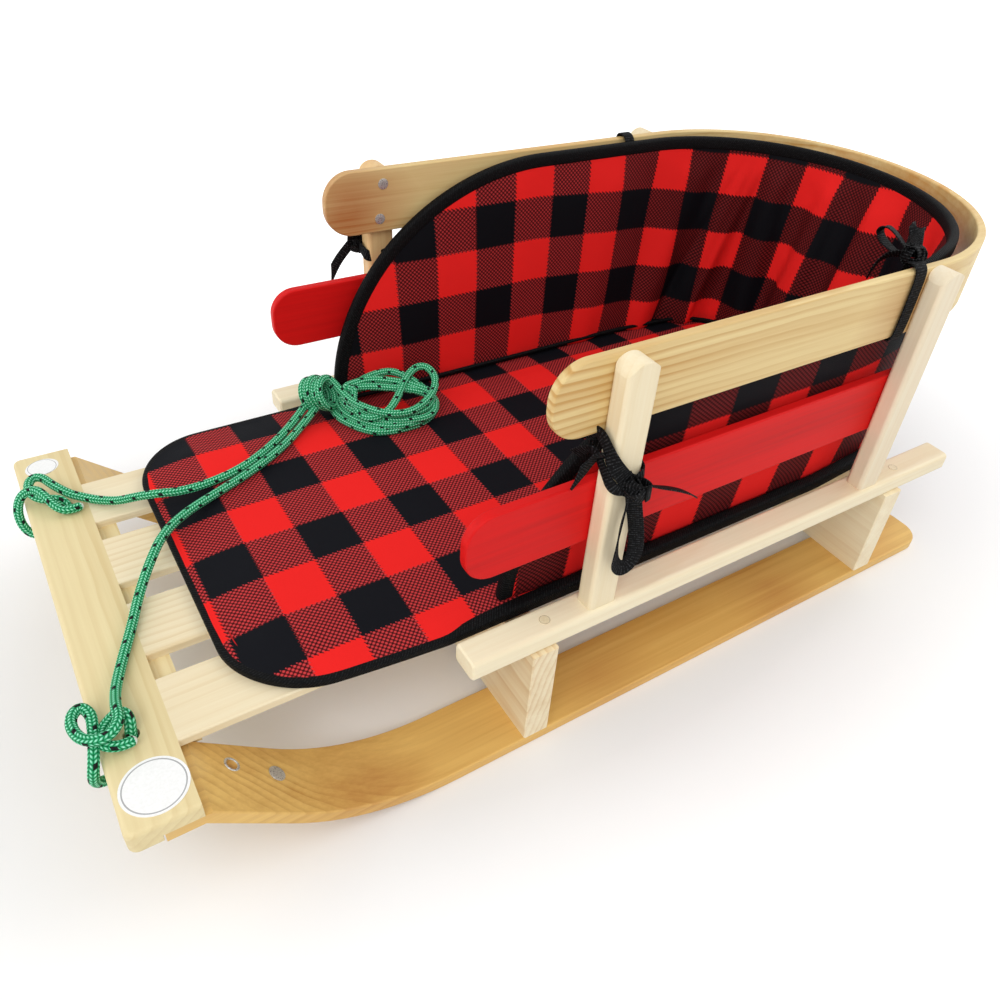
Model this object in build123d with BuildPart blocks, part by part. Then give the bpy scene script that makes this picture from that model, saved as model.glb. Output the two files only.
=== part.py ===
"""A child's wooden pull sled: two flat bent runners, two boards on edge across them,
a slatted deck, a rail each side with posts, a bent back band, red side boards,
a quilted seat with a wrap-around back, and a tow rope tied to the front bar.

Millimetres. +X is the way the sled is pulled, +Y its left side, +Z up.
The origin is on the ground, midway along the sled and on its centre line.
"""
from build123d import *
from math import cos, radians, sin, tan
import os

# Overall
sled_length = 816.0          # front face of the bar to the back of the band
sled_width = 392.0           # over the runners, and the length of the bar
bar_front = sled_length / 2
band_back = -sled_length / 2

# Runners
ski_width = 57.0
ski_thickness = 10.0
ski_tail = 45.5              # from the back of the band forward to the tail of the runner
ski_tail_round = 22.0
ski_rise = 42.0              # slope of the bent front, degrees
ski_bend_radius = 175.0      # on the upper face
ski_eye_radius = 4.0         # hole through the bent front
ski_eye_drop = 28.0          # from the shoulder of the lap down the slope to the hole
ski_eye_from_side = 39.0     # from the outer edge of the runner
ski_round = 1.5

# Front bar
bar_depth = 43.0
bar_thickness = 19.0
bar_round = 3.5
bar_corner = 6.0             # seen from above
lap_thickness = 7.5          # tongue of the runner let into the bar
lap_length = 23.0
lap_play = 1.0
shoulder_gap = 4.5           # the runner slopes away this far behind the bar
ledge_depth = 14.0           # ledge under the front ends of the slats
rope_hole_radius = 5.0

# Cross boards, on edge on the runners
cross_thickness = 22.0
cross_height = 94.5
cross_setbacks = [("front", 273.0), ("rear", 661.5)]     # name, front face behind the bar's front

# Deck
slat_count = 4
slat_gap = 22.5
slat_margin = 26.0           # from each rail, before the shift
slat_thickness = 6.5
slat_overhang = 30.0         # past the rear cross board
deck_shift = 4.0             # the deck and the seat lie a little to the left

# Rails
rail_width = 25.0
rail_thickness = 17.5
rail_inset = 3.0             # from the outer edge of the runner
rail_front_setback = 224.5
rail_length = 524.0
rail_round = 4.0

# Posts
post_depth = 25.0
post_thickness = 17.0
post_inset = 3.0             # from the outer face of the rail
post_height = 203.0
post_round = 4.0
post_crown = 9.0
post_setbacks = [("front", 323.0), ("rear", 622.5)]      # name, front face behind the bar's front

# Band
band_thickness = 7.0
band_height = 55.0
band_corner = 172.0
band_front_setback = 282.0
band_end_round = 25.0
band_round = 1.5

# Side boards
side_board_height = 54.0
side_board_thickness = 8.0
side_board_over_rail = 55.0
side_board_front_setback = 227.0
side_board_past_post = 8.0
side_board_end_round = 22.0
side_board_round = 1.5

# Seat and back pad
soft_gap = 0.4
seat_thickness = 11.0
seat_margin = 11.0           # from each rail, before the shift
seat_front_setback = 81.0
seat_front_round = 60.0
knee_setback = 600.0         # the seat and the foot of the wall narrow from here back
knee_round = 250.0
seat_back_setback = 749.0
seat_back_inset = 12.0       # how far each side has come in at the back
seat_back_round = 88.0
wall_thickness = 10.0
wall_foot_inset = 5.0        # from the edge of the seat to the foot of the wall
wall_foot_back_setback = 747.0
wall_foot_corner = 84.0
wall_head_from_band = 3.0    # clear of the band at its sides
wall_head_from_back = 20.0   # clear of the band at the back
wall_head_corner = 160.0
wall_head_taper = 1.5
wall_front_setback = 277.0   # where the wall starts at the seat
wall_crest_setback = 495.0   # where its curved edge reaches full height
wall_below_band_top = 8.0

# Rope, through two holes near the ends of the bar
rope_diameter = 7.0
rope_clear = 0.3
rope_holes = [               # name, setback from the front of the bar, distance from its end
    ("left", 20.0, 68.0),
    ("right", 29.0, 84.0),
]
knot_offsets = {             # from the hole: middle of the knot, and how far aside the loop passes the front
    "left": (14.0, -6.0, 8.0),
    "right": (17.0, -21.0, -14.0),
}
knot_radius = 15.0
knot_height = 18.0
coil_height = 25.0
coil_gather = (154.0, -139.0)
coil_gather_radius = 20.0
coil_gather_height = 34.0
coil_centre = (108.0, -98.0)
coil_turn = 145.0            # the way the coil lies, degrees from forward
coil_outer = (98.0, 62.0)
coil_inner = (50.0, 14.0)
# Routes of the two leads, by hand, from the knot on the bar to the knot of the coil
left_route = [
    (394, 110, 121), (388, 94, 118), (379, 70, 115.5), (367, 44, 115.5), (356, 19, 118), (342, -3, 124.5),
    (326, -24, 130), (304, -42, 129), (276, -56, 127.5), (241, -71.5, 127.5), (205, -93.5, 127.5),
    (175, -119, 130), (158, -131, 135),
]
right_route = [
    (386, -127, 120), (371, -115, 117.5), (357, -104, 115.5), (344, -93, 118), (332, -83, 125),
    (317, -73, 130), (299, -68, 129), (273, -71.5, 127.5), (245, -79.5, 127.5), (211, -100.5, 128),
    (181, -125.5, 131), (163, -142, 136),
]

# Levels that follow
bar_back = bar_front - bar_depth
cross_top = ski_thickness + cross_height
deck_top = cross_top + slat_thickness
bar_top = deck_top
bar_bottom = bar_top - bar_thickness
lap_top = bar_bottom + lap_thickness
ski_outer = sled_width / 2
ski_inner = ski_outer - ski_width
rail_outer = ski_outer - rail_inset
rail_inner = rail_outer - rail_width
rail_top = cross_top + rail_thickness
slat_width = (2 * (rail_inner - slat_margin) - (slat_count - 1) * slat_gap) / slat_count
seat_width = 2 * (rail_inner - seat_margin)
post_outer = rail_outer - post_inset
post_inner = post_outer - post_thickness
post_top = rail_top + post_height
band_top = post_top
band_bottom = band_top - band_height
rear_post_back = bar_front - post_setbacks[1][1] - post_depth
rear_cross_back = bar_front - cross_setbacks[1][1] - cross_thickness
knee_x = bar_front - knee_setback
sides = [("left", 1), ("right", -1)]
rope_hole_places = {}
for (side, sign), (name, setback, from_end) in zip(sides, rope_holes):
    rope_hole_places[name] = (bar_front - setback, sign * (ski_outer - from_end))

os.makedirs("parts", exist_ok=True)
pieces = []


def keep(part, name):
    """Labels a finished piece and writes it."""
    part.label = name
    pieces.append(part)
    export_step(part, f"parts/{name}.step")


def u_outline(front, back, half_width, corner, thickness, taper=0.0):
    """Adds the closed plan outline of a U-shaped wall, open towards the front.
    With a taper, its sides come in by that much from the knee to the back."""
    for inset in (0, thickness):
        side = [(front, half_width - inset)]
        rounds = [corner - inset]
        if taper:
            side.append((knee_x, half_width - inset))
            rounds.insert(0, knee_round - inset)
        side.append((back + inset, half_width - taper - inset))
        other_side = [(x, -y) for x, y in reversed(side)]
        FilletPolyline(*side, *other_side, radius=rounds + rounds[::-1])
    for sign in (1, -1):
        Line((front, sign * half_width), (front, sign * (half_width - thickness)))


# Runner, drawn from the side: flat sole, bend, straight rise, and a level tongue under the bar
shoulder = Vector(bar_back - shoulder_gap, lap_top)
rise = radians(ski_rise)
rise_direction = Vector(cos(rise), sin(rise))
rise_normal = Vector(-sin(rise), cos(rise))
bend_corner_x = shoulder.X - (shoulder.Y - ski_thickness) / tan(rise)
bend_start_x = bend_corner_x - ski_bend_radius * tan(rise / 2)
bend_centre = Vector(bend_start_x, ski_thickness + ski_bend_radius)
bend_end_upper = bend_centre - rise_normal * ski_bend_radius
bend_end_lower = bend_centre - rise_normal * (ski_bend_radius + ski_thickness)
under_shoulder = shoulder - rise_normal * ski_thickness
tongue_start = under_shoulder + rise_direction * ((bar_bottom - under_shoulder.Y) / sin(rise))
tongue_tip_x = bar_back + lap_length
ski_back = band_back + ski_tail
eye = shoulder - rise_direction * ski_eye_drop
eye_plane = Plane(
    origin=(eye.X, 0, eye.Y), x_dir=(0, 1, 0), z_dir=(rise_normal.X, 0, rise_normal.Y)
)

for side, sign in sides:
    ski_middle = sign * (ski_outer + ski_inner) / 2
    with BuildPart() as runner:
        with BuildSketch(Plane.XZ.offset(-ski_middle)):
            with BuildLine():
                Line((ski_back, 0), (bend_start_x, 0))
                JernArc((bend_start_x, 0), (1, 0), ski_bend_radius + ski_thickness, ski_rise)
                Line(bend_end_lower, tongue_start)
                Line(tongue_start, (tongue_tip_x, bar_bottom))
                Line((tongue_tip_x, bar_bottom), (tongue_tip_x, lap_top))
                Line((tongue_tip_x, lap_top), shoulder)
                Line(shoulder, bend_end_upper)
                JernArc((bend_start_x, ski_thickness), (1, 0), ski_bend_radius, ski_rise)
                Line((bend_start_x, ski_thickness), (ski_back, ski_thickness))
                Line((ski_back, ski_thickness), (ski_back, 0))
            make_face()
        extrude(amount=ski_width / 2, both=True)
        tail_edges = runner.edges().filter_by(Axis.Z).group_by(Axis.X)[0]
        fillet(tail_edges, ski_tail_round)
        rims = runner.edges().filter_by(lambda edge: abs(edge.tangent_at(0.5).Y) < 0.99)
        outline_rims = rims.filter_by(lambda edge: edge.center().X < shoulder.X - 1)
        fillet(outline_rims.filter_by(Axis.Z, reverse=True), ski_round)
        with Locations(eye_plane):
            with Locations((sign * (ski_outer - ski_eye_from_side), 0)):
                Hole(ski_eye_radius, depth=2 * ski_thickness)
    keep(runner.part, f"runner_{side}")

# Front bar with a lap for each runner, a ledge for the slats and two rope holes
ledge_half = ski_inner - lap_play
with BuildPart() as front_bar:
    with BuildSketch(Plane.XY.offset(bar_bottom)):
        with Locations((bar_front - bar_depth / 2, 0)):
            Rectangle(bar_depth, sled_width)
    extrude(amount=bar_thickness)
    front_corners = front_bar.edges().filter_by(Axis.Z).group_by(Axis.X)[-1]
    fillet(front_corners, bar_corner)
    long_edges = front_bar.edges().filter_by(Axis.Y).group_by(Axis.X)[-1]
    fillet(long_edges, bar_round)
    with BuildSketch(Plane.XY.offset(bar_bottom)):
        with Locations((bar_back - ledge_depth / 2, 0)):
            Rectangle(ledge_depth, 2 * ledge_half)
    extrude(amount=bar_thickness - slat_thickness)
    with BuildSketch(Plane.XY.offset(bar_bottom)):
        for side, sign in sides:
            with Locations((bar_back + (lap_length + lap_play) / 2, sign * (ski_outer + ledge_half) / 2)):
                Rectangle(lap_length + lap_play, ski_outer - ledge_half)
    extrude(amount=lap_thickness, mode=Mode.SUBTRACT)
    with Locations(Plane.XY.offset(bar_top)):
        with Locations(*rope_hole_places.values()):
            Hole(rope_hole_radius)
keep(front_bar.part, "front_bar")

# Cross boards
for place, setback in cross_setbacks:
    with BuildPart() as cross_board:
        with BuildSketch(Plane.XY.offset(ski_thickness)):
            with Locations((bar_front - setback - cross_thickness / 2, 0)):
                Rectangle(cross_thickness, sled_width)
        extrude(amount=cross_height)
        chamfer(cross_board.edges().filter_by(Axis.Z), 1.0)
    keep(cross_board.part, f"cross_board_{place}")

# Deck slats, between the bar and the rear cross board
slat_pitch = slat_width + slat_gap
slat_back = rear_cross_back - slat_overhang
for number in range(slat_count):
    slat_y = deck_shift + (number - (slat_count - 1) / 2) * slat_pitch
    with BuildPart() as deck_slat:
        with BuildSketch(Plane.XY.offset(cross_top)):
            with Locations(((bar_back + slat_back) / 2, slat_y)):
                Rectangle(bar_back - slat_back, slat_width)
        extrude(amount=slat_thickness)
        upper_edges = deck_slat.edges().filter_by(Axis.X).group_by(Axis.Z)[-1]
        fillet(upper_edges, 1.5)
    keep(deck_slat.part, f"deck_slat_{number + 1}")

# Rails and posts
for side, sign in sides:
    rail_y = sign * (rail_outer + rail_inner) / 2
    rail_front = bar_front - rail_front_setback
    with BuildPart() as rail:
        with BuildSketch(Plane.XY.offset(cross_top)):
            with Locations((rail_front - rail_length / 2, rail_y)):
                Rectangle(rail_length, rail_width)
        extrude(amount=rail_thickness)
        fillet(rail.edges().filter_by(Axis.X), rail_round)
        end_edges = rail.faces().filter_by(Axis.X).edges()
        chamfer(end_edges, 1.5)
    keep(rail.part, f"rail_{side}")

    for place, setback in post_setbacks:
        post_y = sign * (post_outer + post_inner) / 2
        with BuildPart() as post:
            with BuildSketch(Plane.XY.offset(rail_top)):
                with Locations((bar_front - setback - post_depth / 2, post_y)):
                    RectangleRounded(post_depth, post_thickness, post_round)
            extrude(amount=post_height)
        with BuildPart() as crowned:
            add(post.part)
            with BuildSketch(Plane.XZ.offset(-post_y)):
                with BuildLine():
                    x0 = bar_front - setback - post_depth
                    x1 = bar_front - setback
                    crown_z = post_top - post_crown
                    Line((x0, rail_top), (x1, rail_top))
                    Line((x1, rail_top), (x1, crown_z))
                    ThreePointArc((x1, crown_z), ((x0 + x1) / 2, post_top), (x0, crown_z))
                    Line((x0, crown_z), (x0, rail_top))
                make_face()
            extrude(amount=post_thickness, both=True, mode=Mode.INTERSECT)
        keep(crowned.part, f"post_{place}_{side}")

# Bent band round the back
band_front = bar_front - band_front_setback
with BuildPart() as back_band:
    with BuildSketch(Plane.XY.offset(band_bottom)):
        with BuildLine():
            u_outline(band_front, band_back, post_inner, band_corner, band_thickness)
        make_face()
    extrude(amount=band_height)
    end_corners = back_band.edges().filter_by(Axis.Y).group_by(Axis.X)[-1]
    fillet(end_corners, band_end_round)
    across = back_band.edges().filter_by(Axis.Y)
    seams = back_band.edges().filter_by(Axis.Z).filter_by(lambda edge: edge.center().X < band_front - 1)
    fillet(back_band.edges() - across - seams, band_round)
keep(back_band.part, "back_band")

# Red side boards
for side, sign in sides:
    board_front = bar_front - side_board_front_setback
    board_back = rear_post_back - side_board_past_post
    board_bottom = rail_top + side_board_over_rail
    board_y = sign * (post_inner - side_board_thickness / 2)
    with BuildPart() as side_board:
        with BuildSketch(Plane.XY.offset(board_bottom)):
            with Locations(((board_front + board_back) / 2, board_y)):
                Rectangle(board_front - board_back, side_board_thickness)
        extrude(amount=side_board_height)
        end_corners = side_board.edges().filter_by(Axis.Y).group_by(Axis.X)[-1]
        fillet(end_corners, side_board_end_round)
        fillet(side_board.faces().filter_by(Axis.Y).edges(), side_board_round)
    keep(side_board.part, f"side_board_{side}")

# Seat cushion on the deck
seat_bottom = deck_top + soft_gap
seat_top = seat_bottom + seat_thickness
seat_front = bar_front - seat_front_setback
seat_back = bar_front - seat_back_setback
seat_left = deck_shift + seat_width / 2
seat_right = deck_shift - seat_width / 2
seat_side = [(seat_front, seat_left), (knee_x, seat_left), (seat_back, seat_left - seat_back_inset)]
seat_other_side = [(seat_back, seat_right + seat_back_inset), (knee_x, seat_right), (seat_front, seat_right)]
with BuildPart() as seat_pad:
    with BuildSketch(Plane.XY.offset(seat_bottom)):
        with BuildLine(Plane.XY.offset(seat_bottom)):
            Polyline(*seat_side, *seat_other_side, close=True)
        make_face()
    extrude(amount=seat_thickness)
    uprights = seat_pad.edges().filter_by(Axis.Z).group_by(Axis.X)
    fillet(uprights[-1], seat_front_round)
    fillet(seat_pad.edges().filter_by(Axis.Z).group_by(Axis.X)[0], seat_back_round)
keep(seat_pad.part, "seat_pad")

# Back cushion: a wall that leans out from the seat to the inside of the band
wall_bottom = seat_top + soft_gap
wall_top = band_top - wall_below_band_top
wall_front = bar_front - wall_front_setback
wall_crest = bar_front - wall_crest_setback
wall_foot_back = bar_front - wall_foot_back_setback
wall_foot_half = seat_width / 2 - wall_foot_inset
wall_head_half = post_inner - band_thickness - wall_head_from_band
wall_head_back = band_back + band_thickness + wall_head_from_back
with BuildPart() as back_pad:
    with BuildSketch(Plane.XY.offset(wall_bottom)):
        with BuildLine():
            u_outline(
                wall_front, wall_foot_back, wall_foot_half, wall_foot_corner, wall_thickness, seat_back_inset
            )
        make_face()
    with BuildSketch(Plane.XY.offset(wall_top)):
        with BuildLine():
            u_outline(
                wall_front, wall_head_back, wall_head_half, wall_head_corner, wall_thickness, wall_head_taper
            )
        make_face()
    loft(ruled=True)
    with BuildSketch(Plane.XZ):
        with BuildLine():
            Line((band_back, wall_bottom), (wall_front, wall_bottom))
            EllipticalCenterArc(
                (wall_crest, wall_bottom), wall_front - wall_crest, wall_top - wall_bottom, 0, arc_size=90
            )
            Line((wall_crest, wall_top), (band_back, wall_top))
            Line((band_back, wall_top), (band_back, wall_bottom))
        make_face()
    extrude(amount=sled_width, both=True, mode=Mode.INTERSECT)
keep(back_pad.part, "back_pad")

# Rope: a loop through each hole and round the front of the bar, a knot on top, and two leads
rope_radius = rope_diameter / 2


def rope_radii(points):
    """Radius for each corner of a route: as large as its two runs allow."""
    radii = []
    for before, corner, after in zip(points, points[1:], points[2:]):
        run_in = Vector(*corner) - Vector(*before)
        run_out = Vector(*after) - Vector(*corner)
        turn = radians(run_in.get_angle(run_out))
        radii.append(0.45 * min(run_in.length, run_out.length) / tan(turn / 2))
    return radii


def rope_tube(points, radii, name):
    """One tube along straight runs joined by tangent arcs."""
    with BuildPart() as tube:
        with BuildLine() as route:
            FilletPolyline(*points, radius=radii)
        start = Vector(*points[0])
        direction = Vector(*points[1]) - start
        with BuildSketch(Plane(origin=start, z_dir=direction)):
            Circle(rope_radius)
        sweep(path=route.wires()[0])
    length = route.wires()[0].length
    section = tube.part.volume / length
    print(name, "length", round(length), "mean section", round(section, 2), "radii", [round(r) for r in radii])
    keep(tube.part, name)


loop_wrap = rope_radius + 4.0
loop_front = bar_front + loop_wrap - 1.0
loop_top = bar_top + loop_wrap
loop_below = bar_bottom - loop_wrap
for side, sign in sides:
    hole_x, hole_y = rope_hole_places[side]
    ahead, aside, loop_aside = knot_offsets[side]
    knot_x = hole_x + ahead
    knot_y = hole_y + aside
    loop_y = hole_y + loop_aside
    with BuildPart() as bar_knot:
        with BuildSketch(Plane.XY.offset(bar_top + rope_clear)):
            with Locations((knot_x, knot_y)):
                Circle(knot_radius)
        extrude(amount=knot_height)
        chamfer(bar_knot.edges().group_by(Axis.Z)[-1], 4.0)
    keep(bar_knot.part, f"rope_knot_{side}")
    loop_points = [
        (knot_x, (knot_y + loop_y) / 2, loop_top),
        (loop_front, loop_y, loop_top),
        (loop_front, loop_y - 1, loop_below),
        (hole_x, hole_y, loop_below),
        (hole_x, hole_y, bar_top + rope_radius),
    ]
    rope_tube(loop_points, [loop_wrap] * 3, f"rope_loop_{side}")

rope_tube(left_route, rope_radii(left_route), "rope_lead_left")
rope_tube(right_route, rope_radii(right_route), "rope_lead_right")

coil_bottom = Plane.XY.offset(seat_top + rope_clear)
with BuildPart() as rope_coil:
    with BuildSketch(coil_bottom):
        with Locations(Location(coil_centre, coil_turn)):
            SlotOverall(*coil_outer)
        neck_middle = ((coil_centre[0] + coil_gather[0]) / 2, (coil_centre[1] + coil_gather[1]) / 2)
        SlotCenterPoint(neck_middle, coil_gather, 1.4 * coil_gather_radius)
        with Locations(Location(coil_centre, coil_turn)):
            SlotOverall(*coil_inner, mode=Mode.SUBTRACT)
    extrude(amount=coil_height)
    with BuildSketch(coil_bottom):
        with Locations(coil_gather):
            Circle(coil_gather_radius)
    extrude(amount=coil_gather_height)
keep(rope_coil.part, "rope_coil")

print(len(pieces), "pieces")
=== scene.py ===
"""Looks of a child's wooden pull sled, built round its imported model.

Metres. +X is the way the sled is pulled, +Y its left side, +Z up.
"""
from math import atan2, cos, exp, hypot, pi, radians, sin, tan

import bmesh
import bpy
import numpy as np
from mathutils import Euler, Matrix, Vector, noise


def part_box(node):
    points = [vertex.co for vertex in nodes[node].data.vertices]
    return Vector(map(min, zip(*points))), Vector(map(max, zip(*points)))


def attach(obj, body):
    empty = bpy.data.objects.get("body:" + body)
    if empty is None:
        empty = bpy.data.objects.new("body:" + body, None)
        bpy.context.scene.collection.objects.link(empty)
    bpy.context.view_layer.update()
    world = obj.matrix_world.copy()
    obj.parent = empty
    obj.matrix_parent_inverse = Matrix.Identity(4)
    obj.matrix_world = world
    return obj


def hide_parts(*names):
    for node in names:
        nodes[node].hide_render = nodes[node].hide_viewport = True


bl_info = {
    "name": "Pull sled looks",
    "version": (1, 0, 0),
    "blender": (4, 5, 0),
    "location": "View3D > Sidebar > Sled",
    "description": "Finishes, pads, rope, ties and stage of a wooden pull sled",
    "category": "Object",
}

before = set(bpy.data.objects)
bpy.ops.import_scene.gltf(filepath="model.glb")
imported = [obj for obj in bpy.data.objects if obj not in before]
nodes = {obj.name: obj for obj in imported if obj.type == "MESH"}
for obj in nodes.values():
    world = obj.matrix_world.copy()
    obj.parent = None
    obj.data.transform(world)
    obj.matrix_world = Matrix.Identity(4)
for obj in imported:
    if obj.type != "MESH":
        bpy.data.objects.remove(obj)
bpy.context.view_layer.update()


def linear(red, green, blue):
    """A colour given as a screen shows it, 0 to 255, for a shader."""
    return tuple(((c / 255 + 0.055) / 1.055) ** 2.4 if c > 10 else c / 255 / 12.92 for c in (red, green, blue))


class SledRopeSettings(bpy.types.PropertyGroup):
    diameter: bpy.props.FloatProperty(
        name="Rope diameter", description="Thickness of the tow rope", default=0.007, unit="LENGTH")
    green: bpy.props.FloatVectorProperty(
        name="Rope green", description="Main colour of the rope", default=linear(4, 178, 108), subtype="COLOR")
    # Painted highlight: the colour painted on the crowns of the strands
    light: bpy.props.FloatVectorProperty(
        name="Rope painted highlight", description="Colour on the crowns of the strands", default=linear(190, 255, 232),
        subtype="COLOR")
    fleck: bpy.props.FloatVectorProperty(
        name="Rope fleck", description="Colour of the tracer strands", default=linear(8, 12, 12), subtype="COLOR")


class SledCheckSettings(bpy.types.PropertyGroup):
    along: bpy.props.FloatProperty(
        name="Check along", description="Stripe width along the sled", default=0.0392, unit="LENGTH")
    across: bpy.props.FloatProperty(
        name="Check across", description="Stripe width across the sled", default=0.0418, unit="LENGTH")
    dot: bpy.props.FloatProperty(
        name="Dot pitch", description="Pitch of the dots in the mixed squares", default=0.0019, unit="LENGTH")
    red: bpy.props.FloatVectorProperty(
        name="Check red", description="Red squares of the fabric", default=linear(240, 38, 36), subtype="COLOR")
    black: bpy.props.FloatVectorProperty(
        name="Check black", description="Black squares of the fabric", default=linear(11, 12, 17), subtype="COLOR")
    deep: bpy.props.FloatVectorProperty(
        name="Check deep red", description="Ground of the mixed squares", default=linear(34, 5, 8), subtype="COLOR")
    pink: bpy.props.FloatVectorProperty(
        name="Check dots", description="Dots of the mixed squares", default=linear(206, 62, 64), subtype="COLOR")


class SledTapeSettings(bpy.types.PropertyGroup):
    width: bpy.props.FloatProperty(
        name="Ribbon width", description="Width of the ties", default=0.0115, unit="LENGTH")
    thickness: bpy.props.FloatProperty(
        name="Ribbon thickness", description="Thickness of the ties", default=0.0011, unit="LENGTH")
    binding: bpy.props.FloatProperty(
        name="Binding width", description="Width of the edge binding on each face", default=0.0106, unit="LENGTH")
    black: bpy.props.FloatVectorProperty(
        name="Tape black", description="Colour of ties and binding", default=linear(4, 4, 5), subtype="COLOR")


class SledWoodSettings(bpy.types.PropertyGroup):
    honey: bpy.props.FloatVectorProperty(
        name="Honey wood", description="Light tone of the bent runners", default=linear(238, 198, 116),
        subtype="COLOR")
    pale: bpy.props.FloatVectorProperty(
        name="Pale wood", description="Light tone of the rails and posts", default=linear(248, 236, 204),
        subtype="COLOR")
    stain: bpy.props.FloatVectorProperty(
        name="Red stain", description="Colour of the side boards", default=linear(214, 22, 22), subtype="COLOR")


class SledStageSettings(bpy.types.PropertyGroup):
    floor: bpy.props.FloatVectorProperty(
        name="Floor colour", description="Colour of the floor", default=(0.88, 0.88, 0.88), subtype="COLOR")
    key: bpy.props.FloatProperty(name="Key light", description="Power of the main lamp", default=26.0, unit="POWER")
    lens: bpy.props.FloatProperty(name="Lens", description="Focal length of the camera, in millimetres", default=30.3)


# Shapes

def mesh_object(name, vertices, faces, uvs=None):
    """A new object from corner points and faces, with one texture place for each corner of each face."""
    mesh = bpy.data.meshes.new(name)
    mesh.from_pydata(vertices, [], faces)
    if uvs:
        layer = mesh.uv_layers.new(name="UVMap")
        for loop, place in zip(layer.data, uvs):
            loop.uv = place
    piece = bpy.data.objects.new(name, mesh)
    bpy.context.scene.collection.objects.link(piece)
    return piece


def only(piece):
    """Selects one object and makes it active."""
    bpy.ops.object.select_all(action="DESELECT")
    piece.select_set(True)
    bpy.context.view_layer.objects.active = piece


def settle(piece, angle=40):
    """Brings a finished object's place into its mesh and smooths its shading."""
    only(piece)
    bpy.ops.object.transform_apply(location=True, rotation=True, scale=True)
    bpy.ops.object.shade_smooth_by_angle(angle=radians(angle))


def dress(piece, material):
    """Gives an added piece its material and fixes it to the sled."""
    piece.data.materials.clear()
    piece.data.materials.append(material)
    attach(piece, "root")
    return piece


def nurbs_line(points, closed=False, fineness=8):
    """Points along the smooth curve that a list of control points gives."""
    curve = bpy.data.curves.new("line", "CURVE")
    curve.dimensions = "3D"
    spline = curve.splines.new("NURBS")
    spline.points.add(len(points) - 1)
    for point, place in zip(spline.points, points):
        point.co = (*place, 1)
    spline.order_u = 3
    spline.use_endpoint_u = not closed
    spline.use_cyclic_u = closed
    spline.resolution_u = fineness
    helper = bpy.data.objects.new("line", curve)
    bpy.context.scene.collection.objects.link(helper)
    mesh = bpy.data.meshes.new_from_object(helper)
    line = [v.co.copy() for v in mesh.vertices]
    bpy.data.objects.remove(helper)
    bpy.data.curves.remove(curve)
    bpy.data.meshes.remove(mesh)
    return line


def even_line(line, step, closed=False):
    """The same line with points a given step apart."""
    if closed:
        line = line + [line[0]]
    lengths = [0.0]
    for a, b in zip(line, line[1:]):
        lengths.append(lengths[-1] + (b - a).length)
    count = max(2, round(lengths[-1] / step))
    result, k = [], 0
    for i in range(count + (0 if closed else 1)):
        target = lengths[-1] * i / count
        while k < len(line) - 2 and lengths[k + 1] < target:
            k += 1
        span = lengths[k + 1] - lengths[k]
        result.append(line[k].lerp(line[k + 1], (target - lengths[k]) / span if span else 0))
    return result


def tangents(line, closed=False):
    """The direction of a line at each of its points."""
    count = len(line)
    result = []
    for i in range(count):
        before = line[(i - 1) % count] if closed or i else line[0]
        after = line[(i + 1) % count] if closed or i < count - 1 else line[-1]
        result.append((after - before).normalized())
    return result


def carried_sides(line, first_side):
    """Side directions carried along a line without twist."""
    sides, side = [], Vector(first_side)
    for direction in tangents(line):
        side = (side - direction * side.dot(direction)).normalized()
        sides.append(side)
    return sides


def sweep(name, line, sides, profile, closed=False, rounded_ends=False, point_length=0):
    """A profile of (side, up) offsets carried along a line. The texture runs in metres along and round it.

    Its last point_length rings can narrow to a slanting point.
    """
    directions = tangents(line, closed)
    round_lengths = [0.0]
    for a, b in zip(profile, profile[1:] + profile[:1]):
        round_lengths.append(round_lengths[-1] + hypot(b[0] - a[0], b[1] - a[1]))
    around, count = len(profile), len(line)
    vertices = []
    for i, (place, side, direction) in enumerate(zip(line, sides, directions)):
        side = (side - direction * side.dot(direction)).normalized()
        up = direction.cross(side)
        shrink = 1.0
        if rounded_ends and not closed:
            from_end = min(i, count - 1 - i)
            shrink = (0.45, 0.8, 0.95)[from_end] if from_end < 3 else 1.0
        left = (count - 1 - i) / point_length if point_length else 1.0
        narrow = min(1.0, 0.15 + 0.85 * left)
        lean = min(a for a, b in profile) * (1 - narrow)
        for a, b in profile:
            vertices.append(place + side * (a * shrink * narrow + lean) + up * (b * shrink))
    faces, uvs, run = [], [], [0.0]
    for a, b in zip(line, line[1:] + line[:1]):
        run.append(run[-1] + (b - a).length)
    for i in range(count if closed else count - 1):
        row, next_row = i * around, (i + 1) % count * around
        for j in range(around):
            k = (j + 1) % around
            faces.append((row + j, row + k, next_row + k, next_row + j))
            uvs += [(run[i], round_lengths[j]), (run[i], round_lengths[j + 1]),
                    (run[i + 1], round_lengths[j + 1]), (run[i + 1], round_lengths[j])]
    if not closed:
        faces.append(tuple(range(around))[::-1])
        faces.append(tuple(range((count - 1) * around, count * around)))
        uvs += [(0, round_lengths[j]) for j in range(around)] * 2
    piece = mesh_object(name, vertices, faces, uvs)
    repair = bmesh.new()
    repair.from_mesh(piece.data)
    bmesh.ops.recalc_face_normals(repair, faces=repair.faces)
    repair.to_mesh(piece.data)
    repair.free()
    return piece


def rounded_profile(width, height, corner, steps=3):
    """A rounded rectangle of (side, up) offsets, anticlockwise."""
    profile = []
    for turn, (sx, sy) in enumerate(((1, 1), (-1, 1), (-1, -1), (1, -1))):
        for k in range(steps + 1):
            angle = turn * pi / 2 + k / steps * pi / 2
            profile.append((sx * (width / 2 - corner) + corner * cos(angle),
                            sy * (height / 2 - corner) + corner * sin(angle)))
    return profile


# Materials

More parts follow.
